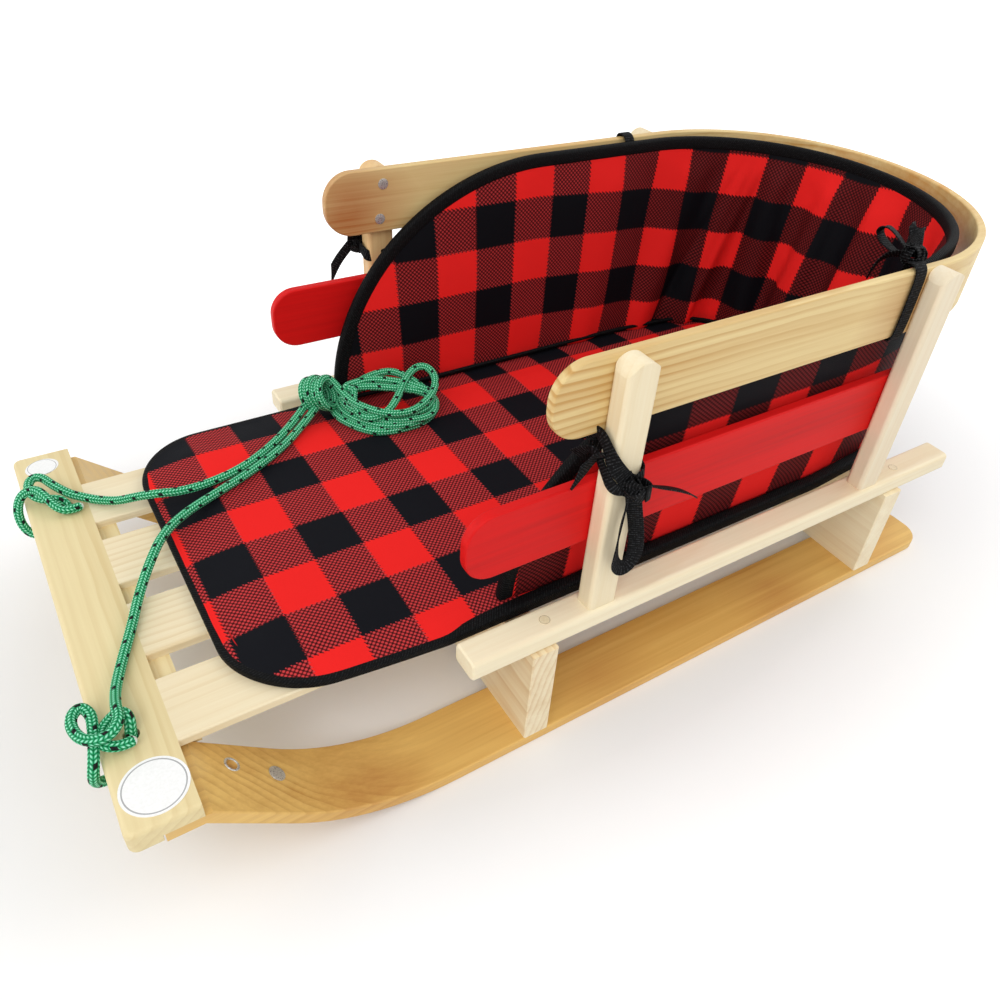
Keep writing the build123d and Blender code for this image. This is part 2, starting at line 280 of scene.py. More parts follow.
class Shader:
    """A material's node tree, with short calls to add nodes and join them."""

    def __init__(self, name):
        self.material = bpy.data.materials.new(name)
        self.material.use_nodes = True
        self.tree = self.material.node_tree
        self.surface = self.tree.nodes["Principled BSDF"]

    def add(self, kind, **settings):
        made = self.tree.nodes.new("ShaderNode" + kind)
        for key, value in settings.items():
            setattr(made, key, value)
        return made

    def join(self, source, target):
        self.tree.links.new(source, target)

    def math(self, operation, a, b=None, c=None, clamp=False):
        made = self.add("Math", operation=operation, use_clamp=clamp)
        for socket, value in zip(made.inputs, (a, b, c)):
            if value is None:
                continue
            if isinstance(value, (int, float)):
                socket.default_value = value
            else:
                self.join(value, socket)
        return made.outputs[0]

    def mix(self, factor, a, b, blend="MIX"):
        made = self.add("Mix", data_type="RGBA", blend_type=blend)
        for socket, value in zip((made.inputs[0], made.inputs[6], made.inputs[7]), (factor, a, b)):
            if isinstance(value, (int, float)):
                socket.default_value = value
            elif isinstance(value, (tuple, list)) or hasattr(value, "hsv"):
                socket.default_value = (*value[:3], 1)
            else:
                self.join(value, socket)
        return made.outputs[2]

    def place(self, source, scale=(1, 1, 1), move=(0, 0, 0), turn=(0, 0, 0)):
        """Object or UV coordinates through a Mapping node."""
        coordinates = self.add("TexCoord")
        mapping = self.add("Mapping")
        self.join(coordinates.outputs[source], mapping.inputs[0])
        mapping.inputs["Location"].default_value = move
        mapping.inputs["Rotation"].default_value = turn
        mapping.inputs["Scale"].default_value = scale
        return mapping.outputs[0]

    def noise(self, where, scale=1.0, detail=3.0, roughness=0.5, distortion=0.0):
        made = self.add("TexNoise")
        self.join(where, made.inputs["Vector"])
        made.inputs["Scale"].default_value = scale
        made.inputs["Detail"].default_value = detail
        made.inputs["Roughness"].default_value = roughness
        made.inputs["Distortion"].default_value = distortion
        return made.outputs[0]

    def ramp(self, factor, stops):
        made = self.add("ValToRGB")
        self.join(factor, made.inputs[0])
        elements = made.color_ramp.elements
        while len(elements) < len(stops):
            elements.new(0.5)
        for element, (position, colour) in zip(elements, stops):
            element.position = position
            element.color = (*colour[:3], 1) if hasattr(colour, "__len__") else (colour, colour, colour, 1)
        return made.outputs[0]

    def bump(self, height, strength, distance=0.001, below=None):
        made = self.add("Bump")
        made.inputs["Strength"].default_value = strength
        made.inputs["Distance"].default_value = distance
        self.join(height, made.inputs["Height"])
        if below is not None:
            self.join(below, made.inputs["Normal"])
        return made.outputs[0]

    def finish(self, colour, roughness=0.5, normal=None, **plain):
        if isinstance(colour, (tuple, list)) or hasattr(colour, "hsv"):
            self.surface.inputs["Base Color"].default_value = (*colour[:3], 1)
        else:
            self.join(colour, self.surface.inputs["Base Color"])
        if isinstance(roughness, (int, float)):
            self.surface.inputs["Roughness"].default_value = roughness
        else:
            self.join(roughness, self.surface.inputs["Roughness"])
        if normal is not None:
            self.join(normal, self.surface.inputs["Normal"])
        for key, value in plain.items():
            self.surface.inputs[key.replace("_", " ")].default_value = value
        return self.material


def shade(colour, amount):
    """A colour made lighter or darker."""
    return tuple(c * amount for c in colour[:3])


def wood(name, light, dark, seed, along="X", figure=0.3, streaks=0.35, warm=()):
    """Varnished wood with the grain along one axis: soft growth rings of a tilted log, streaks and fine fibres.

    Each warm place is a centre, a reach, a strength and the colour that the wood takes there.
    """
    ring_scale, ring_waver, log_middle = 52.0, 11.0, (0.0, 0.021, 0.043)
    shader = Shader(name)
    # Each board is cut from another place of the log
    move = (0.37 * seed, 0.173 * seed % 1.0, 0.291 * seed % 1.0)
    turn = {"X": (0, 0, 0), "Y": (0, 0, pi / 2), "Z": (0, pi / 2, 0)}[along]
    base = shader.place("Object", turn=turn, move=move)

    def stretched(amounts, **settings):
        mapping = shader.add("Mapping")
        shader.join(base, mapping.inputs[0])
        mapping.inputs["Scale"].default_value = amounts
        return shader.noise(mapping.outputs[0], **settings)

    warp = stretched((2.2, 15.0, 15.0), detail=2.0)
    tilt = shader.add("Mapping")
    shader.join(base, tilt.inputs[0])
    tilt.inputs["Rotation"].default_value = (0.0, 0.035, 0.05 * (1 if seed % 2 else -1))
    tilt.inputs["Scale"].default_value = (0.35, 1.0, 1.0)
    tilt.inputs["Location"].default_value = log_middle
    wave = shader.add("TexWave", wave_type="RINGS", rings_direction="X", wave_profile="SAW")
    shader.join(tilt.outputs[0], wave.inputs["Vector"])
    wave.inputs["Scale"].default_value = ring_scale
    wave.inputs["Distortion"].default_value = 1.6
    wave.inputs["Detail"].default_value = 1.5
    shader.join(shader.math("MULTIPLY", warp, ring_waver), wave.inputs["Phase Offset"])
    ring = shader.ramp(wave.outputs["Fac"], ((0.0, 0.1), (0.45, 0.2), (0.82, 0.9), (0.92, 1.0), (1.0, 0.2)))
    present = shader.ramp(stretched((1.4, 11.0, 11.0), detail=2.0), ((0.42, 0.12), (0.62, 1.0)))
    ring = shader.math("MULTIPLY", ring, present)
    streak = stretched((2.0, 90.0, 90.0), detail=3.0, roughness=0.6)
    fibre = stretched((9.0, 460.0, 460.0), detail=4.0, roughness=0.65)
    blotch = stretched((3.0, 14.0, 14.0), detail=3.0, roughness=0.55)
    tone = shader.math("MULTIPLY", ring, figure)
    tone = shader.math("MULTIPLY_ADD", shader.math("SUBTRACT", streak, 0.36), streaks, tone)
    tone = shader.math("MULTIPLY_ADD", shader.math("SUBTRACT", fibre, 0.40), 0.34, tone)
    tone = shader.math("MULTIPLY_ADD", shader.math("SUBTRACT", blotch, 0.36), 0.55, tone, clamp=True)
    colour = shader.mix(tone, light, dark)
    for centre, reach, strength, tint in warm:
        away = shader.add("VectorMath", operation="DISTANCE")
        shader.join(shader.place("Object"), away.inputs[0])
        away.inputs[1].default_value = centre
        share = shader.math("DIVIDE", away.outputs["Value"], -reach)
        share = shader.math("ADD", share, shader.math("MULTIPLY_ADD", blotch, 0.9, 0.55), clamp=True)
        share = shader.math("MULTIPLY", share, shader.math("MULTIPLY_ADD", tone, 0.8, 0.55), clamp=True)
        colour = shader.mix(shader.math("MULTIPLY", share, strength), colour, tint)
    rough = shader.math("MULTIPLY_ADD", fibre, 0.18, 0.42)
    normal = shader.bump(shader.math("MULTIPLY_ADD", ring, -0.3, fibre), 0.14, 0.0005)
    return shader.finish(colour, rough, normal, Coat_Weight=0.08, Coat_Roughness=0.3, Specular_IOR_Level=0.35)


def stained(name, colour, seed):
    """Red stain under a thin varnish, the grain just showing."""
    shader = Shader(name)
    base = shader.place("Object", scale=(6.0, 230.0, 230.0), move=(seed, 0.3 * seed, 0))
    fibre = shader.noise(base, detail=4.0, roughness=0.6)
    broad = shader.noise(shader.place("Object", scale=(3.0, 30.0, 40.0), move=(seed, 0, 0)), detail=2.0)
    tone = shader.math("MULTIPLY_ADD", fibre, 0.55, shader.math("MULTIPLY", broad, 0.5), clamp=True)
    paint = shader.ramp(tone, ((0.25, shade(colour, 0.74)), (0.55, shade(colour, 1.0)), (0.8, shade(colour, 1.12))))
    rough = shader.math("MULTIPLY_ADD", fibre, 0.16, 0.42)
    return shader.finish(paint, rough, shader.bump(fibre, 0.14, 0.0005), Specular_IOR_Level=0.14)


def check_fabric(name, settings, source, along, across, move, depth=1.0, painted_shade_span=None):
    """Woven check: red stripes cross black ones, and where they mix, pink dots stand on deep red in slanting rows.

    Along and across are the stripes' widths, and depth is painted shade that darkens all but the red squares.
    The shade span is the stretch of the cloth's own length over which painted shade turns the mixed squares darker.
    """
    thread_pitch = 0.0009
    shader = Shader(name)
    where = shader.place(source, move=move)
    split = shader.add("SeparateXYZ")
    shader.join(where, split.inputs[0])
    dot = settings.dot
    rows = shader.math("DIVIDE", split.outputs[0], dot)
    columns = shader.math("DIVIDE", split.outputs[1], dot)
    slanted = shader.math("ADD", rows, columns)
    crossed = shader.math("SUBTRACT", rows, columns)
    # The weave steps in whole dots, which gives the toothed edges between squares
    tooth = shader.math("PINGPONG", slanted, 1.0)
    step = shader.math("MULTIPLY", tooth, dot * 1.1)
    first = shader.math("ADD", split.outputs[0], step)
    second = shader.math("ADD", split.outputs[1], step)
    red_row = shader.math("LESS_THAN", shader.math("FRACT", shader.math("DIVIDE", first, 2 * along)), 0.5)
    red_column = shader.math("LESS_THAN", shader.math("FRACT", shader.math("DIVIDE", second, 2 * across)), 0.5)
    both = shader.math("MULTIPLY", red_row, red_column)
    mixed = shader.math("SUBTRACT", shader.math("MAXIMUM", red_row, red_column), both)
    u = shader.math("PINGPONG", slanted, 1.0)
    v = shader.math("PINGPONG", crossed, 1.0)
    dots = shader.math("MULTIPLY", shader.math("MULTIPLY", u, v), 1.9, clamp=True)
    fuzz = shader.noise(shader.place(source, scale=(900, 900, 900)), detail=2.0)
    broad = shader.noise(shader.place(source, scale=(14, 14, 14)), detail=3.0)
    worn = shader.math("MULTIPLY_ADD", broad, 0.35, shader.math("MULTIPLY", fuzz, 0.35))
    red = shader.mix(worn, shade(settings.red, 1.04), shade(settings.red, 0.86))
    # Painted shade: a depth below 1 darkens the black and the mixed squares
    black = shader.mix(worn, shade(settings.black, 1.4 * depth), shade(settings.black, 0.6 * depth))
    solid = shader.mix(both, black, red)
    woven = shader.mix(dots, shade(settings.deep, depth), shade(settings.pink, depth))
    # Painted shade: over the given stretch of the cloth the mixed squares turn darker
    if painted_shade_span:
        start, end = painted_shade_span
        share = shader.math("DIVIDE", shader.math("SUBTRACT", split.outputs[0], start), end - start, clamp=True)
        woven = shader.mix(shader.math("MULTIPLY", share, 0.55), woven, shade(settings.deep, 0.5 * depth))
    colour = shader.mix(mixed, solid, woven)
    # Plain weave relief under the print
    thread_u = shader.math("SINE", shader.math("MULTIPLY", split.outputs[0], 2 * pi / thread_pitch))
    thread_v = shader.math("SINE", shader.math("MULTIPLY", split.outputs[1], 2 * pi / thread_pitch))
    thread = shader.math("MULTIPLY", thread_u, thread_v)
    relief = shader.bump(thread, 0.20, 0.0003)
    relief = shader.bump(broad, 0.35, 0.0022, relief)
    rough = shader.math("MULTIPLY_ADD", both, 0.10, 0.68)
    return shader.finish(colour, rough, relief, Specular_IOR_Level=0.08)


def ribbed_tape(name, colour, slant, fleck):
    """Black tape with fine ribs and a painted highlight on the crests of its threads, from its own texture places in
    metres.
    """
    rib_pitch, thread_pitch = 0.0021, 0.0016
    shader = Shader(name)
    split = shader.add("SeparateXYZ")
    shader.join(shader.place("UV"), split.inputs[0])
    run = shader.math("MULTIPLY_ADD", split.outputs[1], slant, split.outputs[0])
    rib = shader.math("SINE", shader.math("MULTIPLY", run, 2 * pi / rib_pitch))
    thread = shader.math("SINE", shader.math("MULTIPLY", split.outputs[1], 2 * pi / thread_pitch))
    height = shader.math("MULTIPLY_ADD", thread, 0.35, rib)
    # Painted highlight: the crests of the ribs are painted pale, broken into specks by a noise, as strongly as fleck
    # says
    highlight_speckle = shader.noise(shader.place("UV", scale=(500, 500, 500)), detail=2.0)
    painted_rib_highlight = shader.math("POWER", shader.math("MULTIPLY_ADD", rib, 0.5, 0.5), 4.0)
    painted_rib_highlight = shader.math("MULTIPLY", painted_rib_highlight, shader.math("MULTIPLY_ADD", thread, 0.35, 0.65))
    painted_rib_highlight = shader.math("MULTIPLY", painted_rib_highlight, shader.ramp(highlight_speckle, ((0.42, 0.0), (0.60, 1.0))))
    paint = shader.mix(shader.math("MULTIPLY", painted_rib_highlight, fleck), shade(colour, 0.9), linear(128, 130, 134))
    return shader.finish(paint, 0.66, shader.bump(height, 0.45, 0.0004), Specular_IOR_Level=0.10)


def braided(name, settings, length):
    """Braided rope: eight columns of slanting stitches, painted highlight on their crowns and painted shade in their
    hollows, and short black tracer marks.
    """
    columns, stitch_length, mark_repeat, mark_share, cut_length = 8, 0.0024, 0.021, 0.15, 0.0018
    shader = Shader(name)
    split = shader.add("SeparateXYZ")
    shader.join(shader.place("UV"), split.inputs[0])
    around = shader.math("MULTIPLY", split.outputs[1], columns / (pi * settings.diameter))
    column = shader.math("FLOOR", around)
    within = shader.math("FRACT", around)
    odd = shader.math("MODULO", column, 2.0)
    leaning = shader.math("MULTIPLY_ADD", odd, 2.0, -1.0)
    lean = shader.math("MULTIPLY", leaning, shader.math("SUBTRACT", within, 0.5))
    stitch = shader.math("DIVIDE", split.outputs[0], stitch_length)
    along = shader.math("FRACT", shader.math("MULTIPLY_ADD", lean, 0.8, stitch))
    crown = shader.math("SINE", shader.math("MULTIPLY", along, pi))
    body = shader.math("SINE", shader.math("MULTIPLY", within, pi))
    height = shader.math("MULTIPLY", shader.math("POWER", crown, 0.6), shader.math("POWER", body, 0.5))
    fibre = shader.noise(shader.place("UV", scale=(2600, 700, 1)), detail=2.0)
    # Painted highlight on the crowns of the stitches
    painted_crown_highlight = shader.math("MULTIPLY", shader.math("POWER", height, 5.0), shader.math("ADD", fibre, 0.35), clamp=True)
    yarn = shader.mix(painted_crown_highlight, settings.green, settings.light)
    # Painted shade in the hollows between the stitches
    painted_hollow_shade = shader.math("POWER", shader.math("SUBTRACT", 1.0, height), 1.6)
    yarn = shader.mix(painted_hollow_shade, yarn, shade(settings.green, 0.07))
    # Tracer marks on every other column, those of neighbours half a repeat apart
    repeat = shader.math("DIVIDE", split.outputs[0], mark_repeat)
    repeat = shader.math("MULTIPLY_ADD", column, 0.25, shader.math("MULTIPLY_ADD", lean, 0.05, repeat))
    marked = shader.math("LESS_THAN", shader.math("FRACT", repeat), mark_share)
    mark = shader.math("MULTIPLY", marked, shader.math("LESS_THAN", odd, 0.5))
    colour = shader.mix(mark, yarn, settings.fleck)
    # The cut ends are sealed white
    middle = shader.math("ABSOLUTE", shader.math("SUBTRACT", split.outputs[0], length / 2))
    cut = shader.math("GREATER_THAN", middle, length / 2 - cut_length)
    colour = shader.mix(cut, colour, linear(226, 236, 228))
    return shader.finish(colour, 0.5, shader.bump(height, 0.7, 0.0006), Specular_IOR_Level=0.16)


def zinc(name):
    """Zinc-plated steel with a fine grain."""
    shader = Shader(name)
    grain = shader.noise(shader.place("Object", scale=(900, 900, 900)), detail=3.0)
    colour = shader.ramp(grain, ((0.3, linear(168, 168, 166)), (0.7, linear(222, 222, 218))))
    rough = shader.math("MULTIPLY_ADD", grain, 0.2, 0.2)
    return shader.finish(colour, rough, shader.bump(grain, 0.08, 0.0002), Metallic=0.55)


def label_paper(name, centre, radius, low=linear(238, 238, 236), high=linear(250, 250, 249),
                line=linear(168, 168, 168), rim=0.9):
    """A plain round face with a thin ring near its edge. On the rail plugs the ring is painted shade round the sunk
    edge.
    """
    shader = Shader(name)
    grain = shader.noise(shader.place("Object", scale=(600, 600, 600)), detail=3.0)
    paper = shader.ramp(grain, ((0.2, low), (0.8, high)))
    away = shader.add("VectorMath", operation="DISTANCE")
    shader.join(shader.place("Object"), away.inputs[0])
    away.inputs[1].default_value = centre
    share = shader.math("DIVIDE", away.outputs["Value"], radius)
    from_rim = shader.math("ABSOLUTE", shader.math("SUBTRACT", share, rim))
    ring = shader.math("LESS_THAN", from_rim, 0.02 + (0.96 - rim) * 0.02)
    colour = shader.mix(ring, paper, line)
    return shader.finish(colour, 0.4, shader.bump(grain, 0.05, 0.0001), Coat_Weight=0.2, Coat_Roughness=0.2)


# Rope: one line from its cut end on the left knot, through the coil, to the knot on the right.
# Its control points are typed in millimetres.

rope_ring_step, rope_ring_points, rope_groove = 0.0012, 24, 0.07
left_knot = (
    (386, 137, 116.5), (393, 139, 118), (400, 137.5, 119), (405, 131, 118), (403, 122, 117), (398, 117, 117.5),
    (392, 115, 120), (387, 118, 121.5), (386, 125, 120), (388, 128, 113), (388, 128, 104), (388, 128, 96),
    (389, 129, 87), (400, 131, 86), (411, 135, 87), (414.5, 139, 96), (414, 142, 105), (411, 139, 114),
    (408, 130, 119), (406, 119, 120), (405, 109, 121), (409, 102, 122.5), (415, 106, 123), (417, 116, 123.5),
    (414, 127, 124), (408, 133, 125), (401, 135, 126), (395, 132, 126.5), (391, 125, 126), (391, 115, 125),
    (390, 105, 121),
)
left_lead = (
    (388, 94, 118), (379, 70, 115.5), (367, 44, 115.5), (356, 19, 118), (342, -3, 124.5), (326, -24, 130),
    (304, -42, 129), (276, -56, 127.5), (241, -71.5, 127.5), (205, -93.5, 127.5), (175, -119, 130), (158, -131, 135),
)
right_lead = (
    (163, -142, 136), (181, -125.5, 131), (211, -100.5, 128), (245, -79.5, 127.5), (273, -71.5, 127.5),
    (299, -68, 129), (317, -73, 130), (332, -83, 125), (344, -93, 118), (357, -104, 115.5), (371, -115, 117.5),
)
right_knot = (
    (377, -120, 119.5), (385, -132, 122), (390, -144, 123), (397, -146.5, 123), (402, -138, 122), (401, -128, 120),
    (395, -121, 118.5), (388, -118, 118.5), (382, -115, 118), (379, -112, 113), (379, -112, 104), (379, -112, 96),
    (382, -113, 87), (395, -116, 86), (410, -121, 87), (414.5, -124, 97), (414, -128, 109), (409, -131, 119),
    (401, -130, 124), (395, -123, 126), (391, -114, 123), (387, -105, 118.5), (379, -100, 116), (369, -104, 115.5),
)
# Five loose turns of the coil, which fan out from where the knot gathers them
coil_turns = (
    (145, -141, 127), (148, -126, 126.6), (148, -112, 126.6), (143, -99, 126.6), (137, -87, 126.6),
    (128, -77, 126.6), (115, -72, 126.6), (101, -71, 126.6), (87, -71, 126.6), (72, -77, 127), (61, -87, 130),
    (61, -94, 136), (72, -100, 141), (83, -110, 143), (96, -118, 144), (111, -124, 144), (127, -127, 143),
    (141, -131, 133), (143, -116, 130.5), (139, -101, 130.5), (132, -89, 130.5), (123, -79, 130.5),
    (110, -72, 130.5), (97, -69, 130.5), (83, -71, 130.5), (70, -79, 132), (65, -87, 138), (71, -94, 143),
    (84, -101, 146), (97, -108, 147), (111, -116, 148), (125, -123, 147),
    (135, -126, 146), (116, -131, 148), (102, -134, 149), (87, -132, 149.5), (80, -122, 149.5), (73, -110, 147),
    (68, -98, 143), (64, -86, 138), (70, -74, 134), (81, -68, 134), (96, -70, 134), (110, -75, 134), (122, -85, 134),
    (132, -97, 135), (139, -108, 137), (142, -120, 140),
    (140, -117, 145), (137, -106, 142), (129, -94, 139), (120, -86, 137), (108, -78, 137), (93, -75, 137),
    (78, -76, 138), (67, -83, 141), (66, -90, 145), (75, -99, 147), (84, -108, 149), (96, -117, 150),
    (111, -125, 151), (126, -126, 150),
    (138, -122, 151), (129, -118, 149), (134, -112, 143), (136, -100, 139), (134, -89, 136), (124, -83, 137),
    (114, -83, 140), (104, -88, 144), (94, -97, 148), (84, -108, 151), (74, -115, 155), (64, -116, 158),
    (57, -109, 157), (57, -97, 153), (65, -85, 148), (78, -77, 144), (93, -72, 142), (106, -73, 142),
    (118, -80, 142), (128, -91, 143), (136, -104, 144), (140, -116, 147),
)
wrap_middle, wrap_axis, wrap_turns, wrap_points = (156, -137, 141), (0.66, -0.70, -0.25), 4, 12
wrap_reach, wrap_length, wrap_slant, wrap_start = 13.2, 23.0, 3.5, 0.6
wrap_waver, wrap_waver_rate = 0.09, 0.61


def wrap_route():
    """Turns of the knot that hold the coil."""
    axis = Vector(wrap_axis).normalized()
    side = axis.cross(Vector((0, 0, 1))).normalized()
    up = side.cross(axis)
    count = wrap_turns * wrap_points
    route = []
    for k in range(count + 1):
        angle = 2 * pi * k / wrap_points + wrap_start
        # The turns lie slanting and not all of one width
        middle = Vector(wrap_middle) + axis * (wrap_length * (k / count - 0.5) + wrap_slant * sin(angle))
        reach = wrap_reach * (1 + wrap_waver * sin(wrap_waver_rate * angle))
        route.append(middle + (side * cos(angle) + up * sin(angle)) * reach)
    return route


class SLED_OT_rope(bpy.types.Operator):
    """Makes the tow rope with its knots and coil"""
    bl_idname = "sled.rope"
    bl_label = "Tow rope"

    def execute(self, context):
        settings = context.scene.sled_rope
        route = [*left_knot, *left_lead, *coil_turns, *wrap_route(), *right_lead, *right_knot]
        line = nurbs_line([Vector(p) / 1000 for p in route])
        line = even_line(line, rope_ring_step)
        radius = settings.diameter / 2
        profile = []
        for k in range(rope_ring_points):
            # A shallow groove between every two columns of the braid
            angle = 2 * pi * k / rope_ring_points
            crest = radius * (1 - rope_groove * (k % 3 == 0))
            profile.append((crest * cos(angle), crest * sin(angle)))
        rope = sweep("tow_rope", line, carried_sides(line, (0, 0, 1)), profile, rounded_ends=True)
        settle(rope, 60)
        length = sum((b - a).length for a, b in zip(line, line[1:]))
        dress(rope, braided("rope_braid", settings, length))
        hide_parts("rope_coil", "rope_knot_left", "rope_knot_right", "rope_loop_left", "rope_loop_right",
                    "rope_lead_left", "rope_lead_right")
        return {"FINISHED"}


# Pads

seat_low, seat_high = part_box("seat_pad")
wall_low, wall_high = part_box("back_pad")
seat_middle = (seat_low + seat_high) / 2
seat_centre = 0.004
seat_knee, seat_taper = -0.192, 0.012
seat_front_corner, seat_back_corner = 0.060, 0.088
# The seat at its middle and at its edge, the width of its soft slope, and the most that it swells
seat_thickness, seat_edge_share, seat_slope, seat_swell = 0.0110, 0.50, 0.030, 0.003
wall_front, wall_crest = wall_high.x, -0.087
wall_knee, wall_knee_round = -0.192, 0.250
wall_thickness, wall_edge_share, wall_swell = 0.010, 0.55, 0.004
# Side of the faces that a pad is cut into, how full the pads are, and the pressure that swells them
pad_net, pad_fill, pad_pressure = 0.005, 0.35, 1.2
# Half width, back, corner and how far each side comes in towards the back
wall_foot = (0.152, -0.339, 0.084, 0.012)
wall_head = (wall_high.y, wall_low.x, 0.160, 0.0015)
# Rows on each stretch of an outline: the straight side, the knee, the side behind it, the corner and the back
side_steps, knee_steps, rear_steps, corner_steps, back_steps = 80, 8, 20, 60, 30
edge_steps = 48


def smooth_step(low, high, value):
    share = min(1.0, max(0.0, (value - low) / (high - low)))
    return share * share * (3 - 2 * share)


def arc_rows(x, y, radius, start, end, count):
    """Points on an arc seen from above, each with the direction that it faces."""
    turns = [start + (end - start) * k / count for k in range(count + 1)]
    return [(x + radius * cos(a), y + radius * sin(a), a) for a in turns]


def line_rows(start, end, facing, count):
    """Points on a straight edge seen from above, all facing one way."""
    return [(start[0] + (end[0] - start[0]) * k / count, start[1] + (end[1] - start[1]) * k / count, facing)
            for k in range(1, count)]


def back_rows(start_x, half, back, corner, taper, knee):
    """From the end of the straight side over the back corner to the middle of the back."""
    lean = atan2(taper, knee - back)
    bend = corner * tan((pi / 2 - lean) / 2)
    side_end = (back + bend * cos(lean), half - taper + bend * sin(lean))
    rows = line_rows((start_x, half - max(0.0, knee - start_x) * tan(lean)), side_end, pi / 2 + lean, rear_steps)
    rows += arc_rows(back + corner, half - taper - bend, corner, pi / 2 + lean, pi, corner_steps)
    return rows + line_rows((back, half - taper - bend), (back, 0), pi, back_steps) + [(back, 0, pi)]


def wall_rows(half, back, corner, taper):
    """Left half of the wall's outer outline at one height, from its front to the middle of the back."""
    lean = atan2(taper, wall_knee - back)
    reach = wall_knee_round * tan(lean / 2)
    rows = [(wall_front, half, pi / 2)]
    rows += line_rows((wall_front, half), (wall_knee + reach, half), pi / 2, side_steps)
    rows += arc_rows(wall_knee + reach, half - wall_knee_round, wall_knee_round, pi / 2, pi / 2 + lean, knee_steps)
    return np.array(rows + back_rows(rows[-1][0], half, back, corner, taper, wall_knee))


# Rows of the wall's outline before its back corner
wall_sides = side_steps + knee_steps + rear_steps
foot_rows, head_rows = wall_rows(*wall_foot), wall_rows(*wall_head)


def seat_rows():
    """Left half of the seat's outline about its own middle line, from the middle of its front to that of its back."""
    half = seat_high.y - seat_centre
    rows = [(seat_high.x, 0, 0)] + line_rows((seat_high.x, 0), (seat_high.x, half - seat_front_corner), 0, 24)
    rows += arc_rows(seat_high.x - seat_front_corner, half - seat_front_corner, seat_front_corner, 0, pi / 2, 24)
    rows += line_rows((seat_high.x - seat_front_corner, half), (seat_knee, half), pi / 2, 90)
    rows += back_rows(seat_knee, half, seat_low.x, seat_back_corner, seat_taper, seat_knee)
    return np.array(rows)


seat_line = seat_rows()


def nearest(rows, x, y):
    """The nearest row to a place, how deep the place lies inside it, and how far it lies past it along the edge."""
    away = np.hypot(rows[:, 0] - x, rows[:, 1] - y)
    index = int(away.argmin())
    row_x, row_y, facing = rows[index]
    depth = (row_x - x) * cos(facing) + (row_y - y) * sin(facing)
    return index, depth, (y - row_y) * cos(facing) - (x - row_x) * sin(facing)


def seat_worn(x, y):
    """Where a point of the seat really lies: its left front corner is drawn in, its right side bulges a little."""
    front = smooth_step(0.20, seat_high.x, x)
    past = max(0.0, x - 0.184)
    away = y - seat_centre
    if away > 0:
        away *= 1 - (0.55 * past + 12 * past ** 3) * smooth_step(0.0, 0.05, away)
    else:
        away *= 1 + 0.032 * smooth_step(0.03, 0.16, x) * smooth_step(0.0, 0.12, -away)
    return x - 0.0040 * front, seat_centre + away


def seat_outline(inset, step=0.004):
    """The seat's outline, anticlockwise, moved inwards, with the inward direction at each point."""
    half = [(x, y) for x, y, facing in seat_line]
    edge = [(x, y + seat_centre) for x, y in half + [(x, -y) for x, y in half[-2:0:-1]]]
    line = even_line([Vector((*seat_worn(*place), seat_middle.z)) for place in edge], step, closed=True)
    inward = [Vector((-d.y, d.x, 0)) for d in tangents(line, closed=True)]
    return [p + d * inset for p, d in zip(line, inward)], inward


def seat_depth(x, y):
    """How far inside the seat's outline a point lies."""
    return nearest(seat_line, x, abs(y - seat_centre))[1]


def column_scale(rows, start, pitch):
    """Number of the check's column at each row: even steps of x along the side, then even steps round the back."""
    lengths = np.concatenate(([0], np.cumsum(np.hypot(np.diff(rows[:, 0]), np.diff(rows[:, 1])))))
    columns = (start - rows[:, 0]) / pitch
    turn = wall_sides
    rest = (lengths[turn:] - lengths[turn]) / (lengths[-1] - lengths[turn])
    columns[turn:] = columns[turn] + (back_column - columns[turn]) * rest
    return columns


# The check's columns on the wall: place of one seam and pitch, at the foot and at the head, and the one at the back
back_column = 10.8
foot_pitch, head_pitch, pitch_gain = 0.0395, 0.0430, 0.0030
foot_columns, head_columns = column_scale(foot_rows, -0.013, foot_pitch), column_scale(head_rows, -0.014, head_pitch)


def wall_place(point):
    """Column of the check, depth from the outer face, and the outward direction at a place in the wall."""
    share = min(1.0, max(0.0, (point.z - wall_low.z) / (wall_high.z - wall_low.z)))
    rows = foot_rows + (head_rows - foot_rows) * share
    index, depth, past = nearest(rows, point.x, abs(point.y))
    pitch = foot_pitch + pitch_gain * share
    column = foot_columns[index] + (head_columns[index] - foot_columns[index]) * share + past / pitch
    side = 1 if point.y >= 0 else -1
    facing = rows[index][2]
    if side > 0:
        column = 2 * back_column - column
    return column, depth, Vector((cos(facing), side * sin(facing), 0))


def edge_distance(x, z):
    """How far below the wall's free edge a place lies."""
    if x <= wall_crest:
        return wall_high.z - z
    across, up = wall_front - wall_crest, wall_high.z - wall_low.z
    a, b = (x - wall_crest) / across, (z - wall_low.z) / up
    reach = max(hypot(a, b), 1e-6)
    return (1 - reach) * reach / hypot(a / across, b / up)


def wall_sag(place):
    """How far the wall's left side hangs below its plain height."""
    high = smooth_step(0.05, 0.17, place.z - wall_low.z)
    return 0.010 * high * smooth_step(0.02, 0.10, place.y) * smooth_step(-0.27, -0.19, place.x)


def wall_edge(depth=wall_thickness / 2, step=0.004):
    """The wall's free edge at mid thickness, from the right foot round the back to the left foot."""
    half = []
    for k in range(edge_steps + 1):
        angle = k / edge_steps * pi / 2
        x = wall_crest + (wall_front - wall_crest) * cos(angle)
        z = wall_low.z + (wall_high.z - wall_low.z) * sin(angle)
        width = wall_foot[0] + (wall_head[0] - wall_foot[0]) * sin(angle)
        half.append(Vector((x, width - depth, z)))
    for x, y, facing in head_rows:
        if x < wall_crest - 0.004:
            half.append(Vector((x - depth * cos(facing), y - depth * sin(facing), wall_high.z)))
    other = [Vector((p.x, -p.y, p.z)) for p in half]
    return even_line(other + half[-2::-1], step)


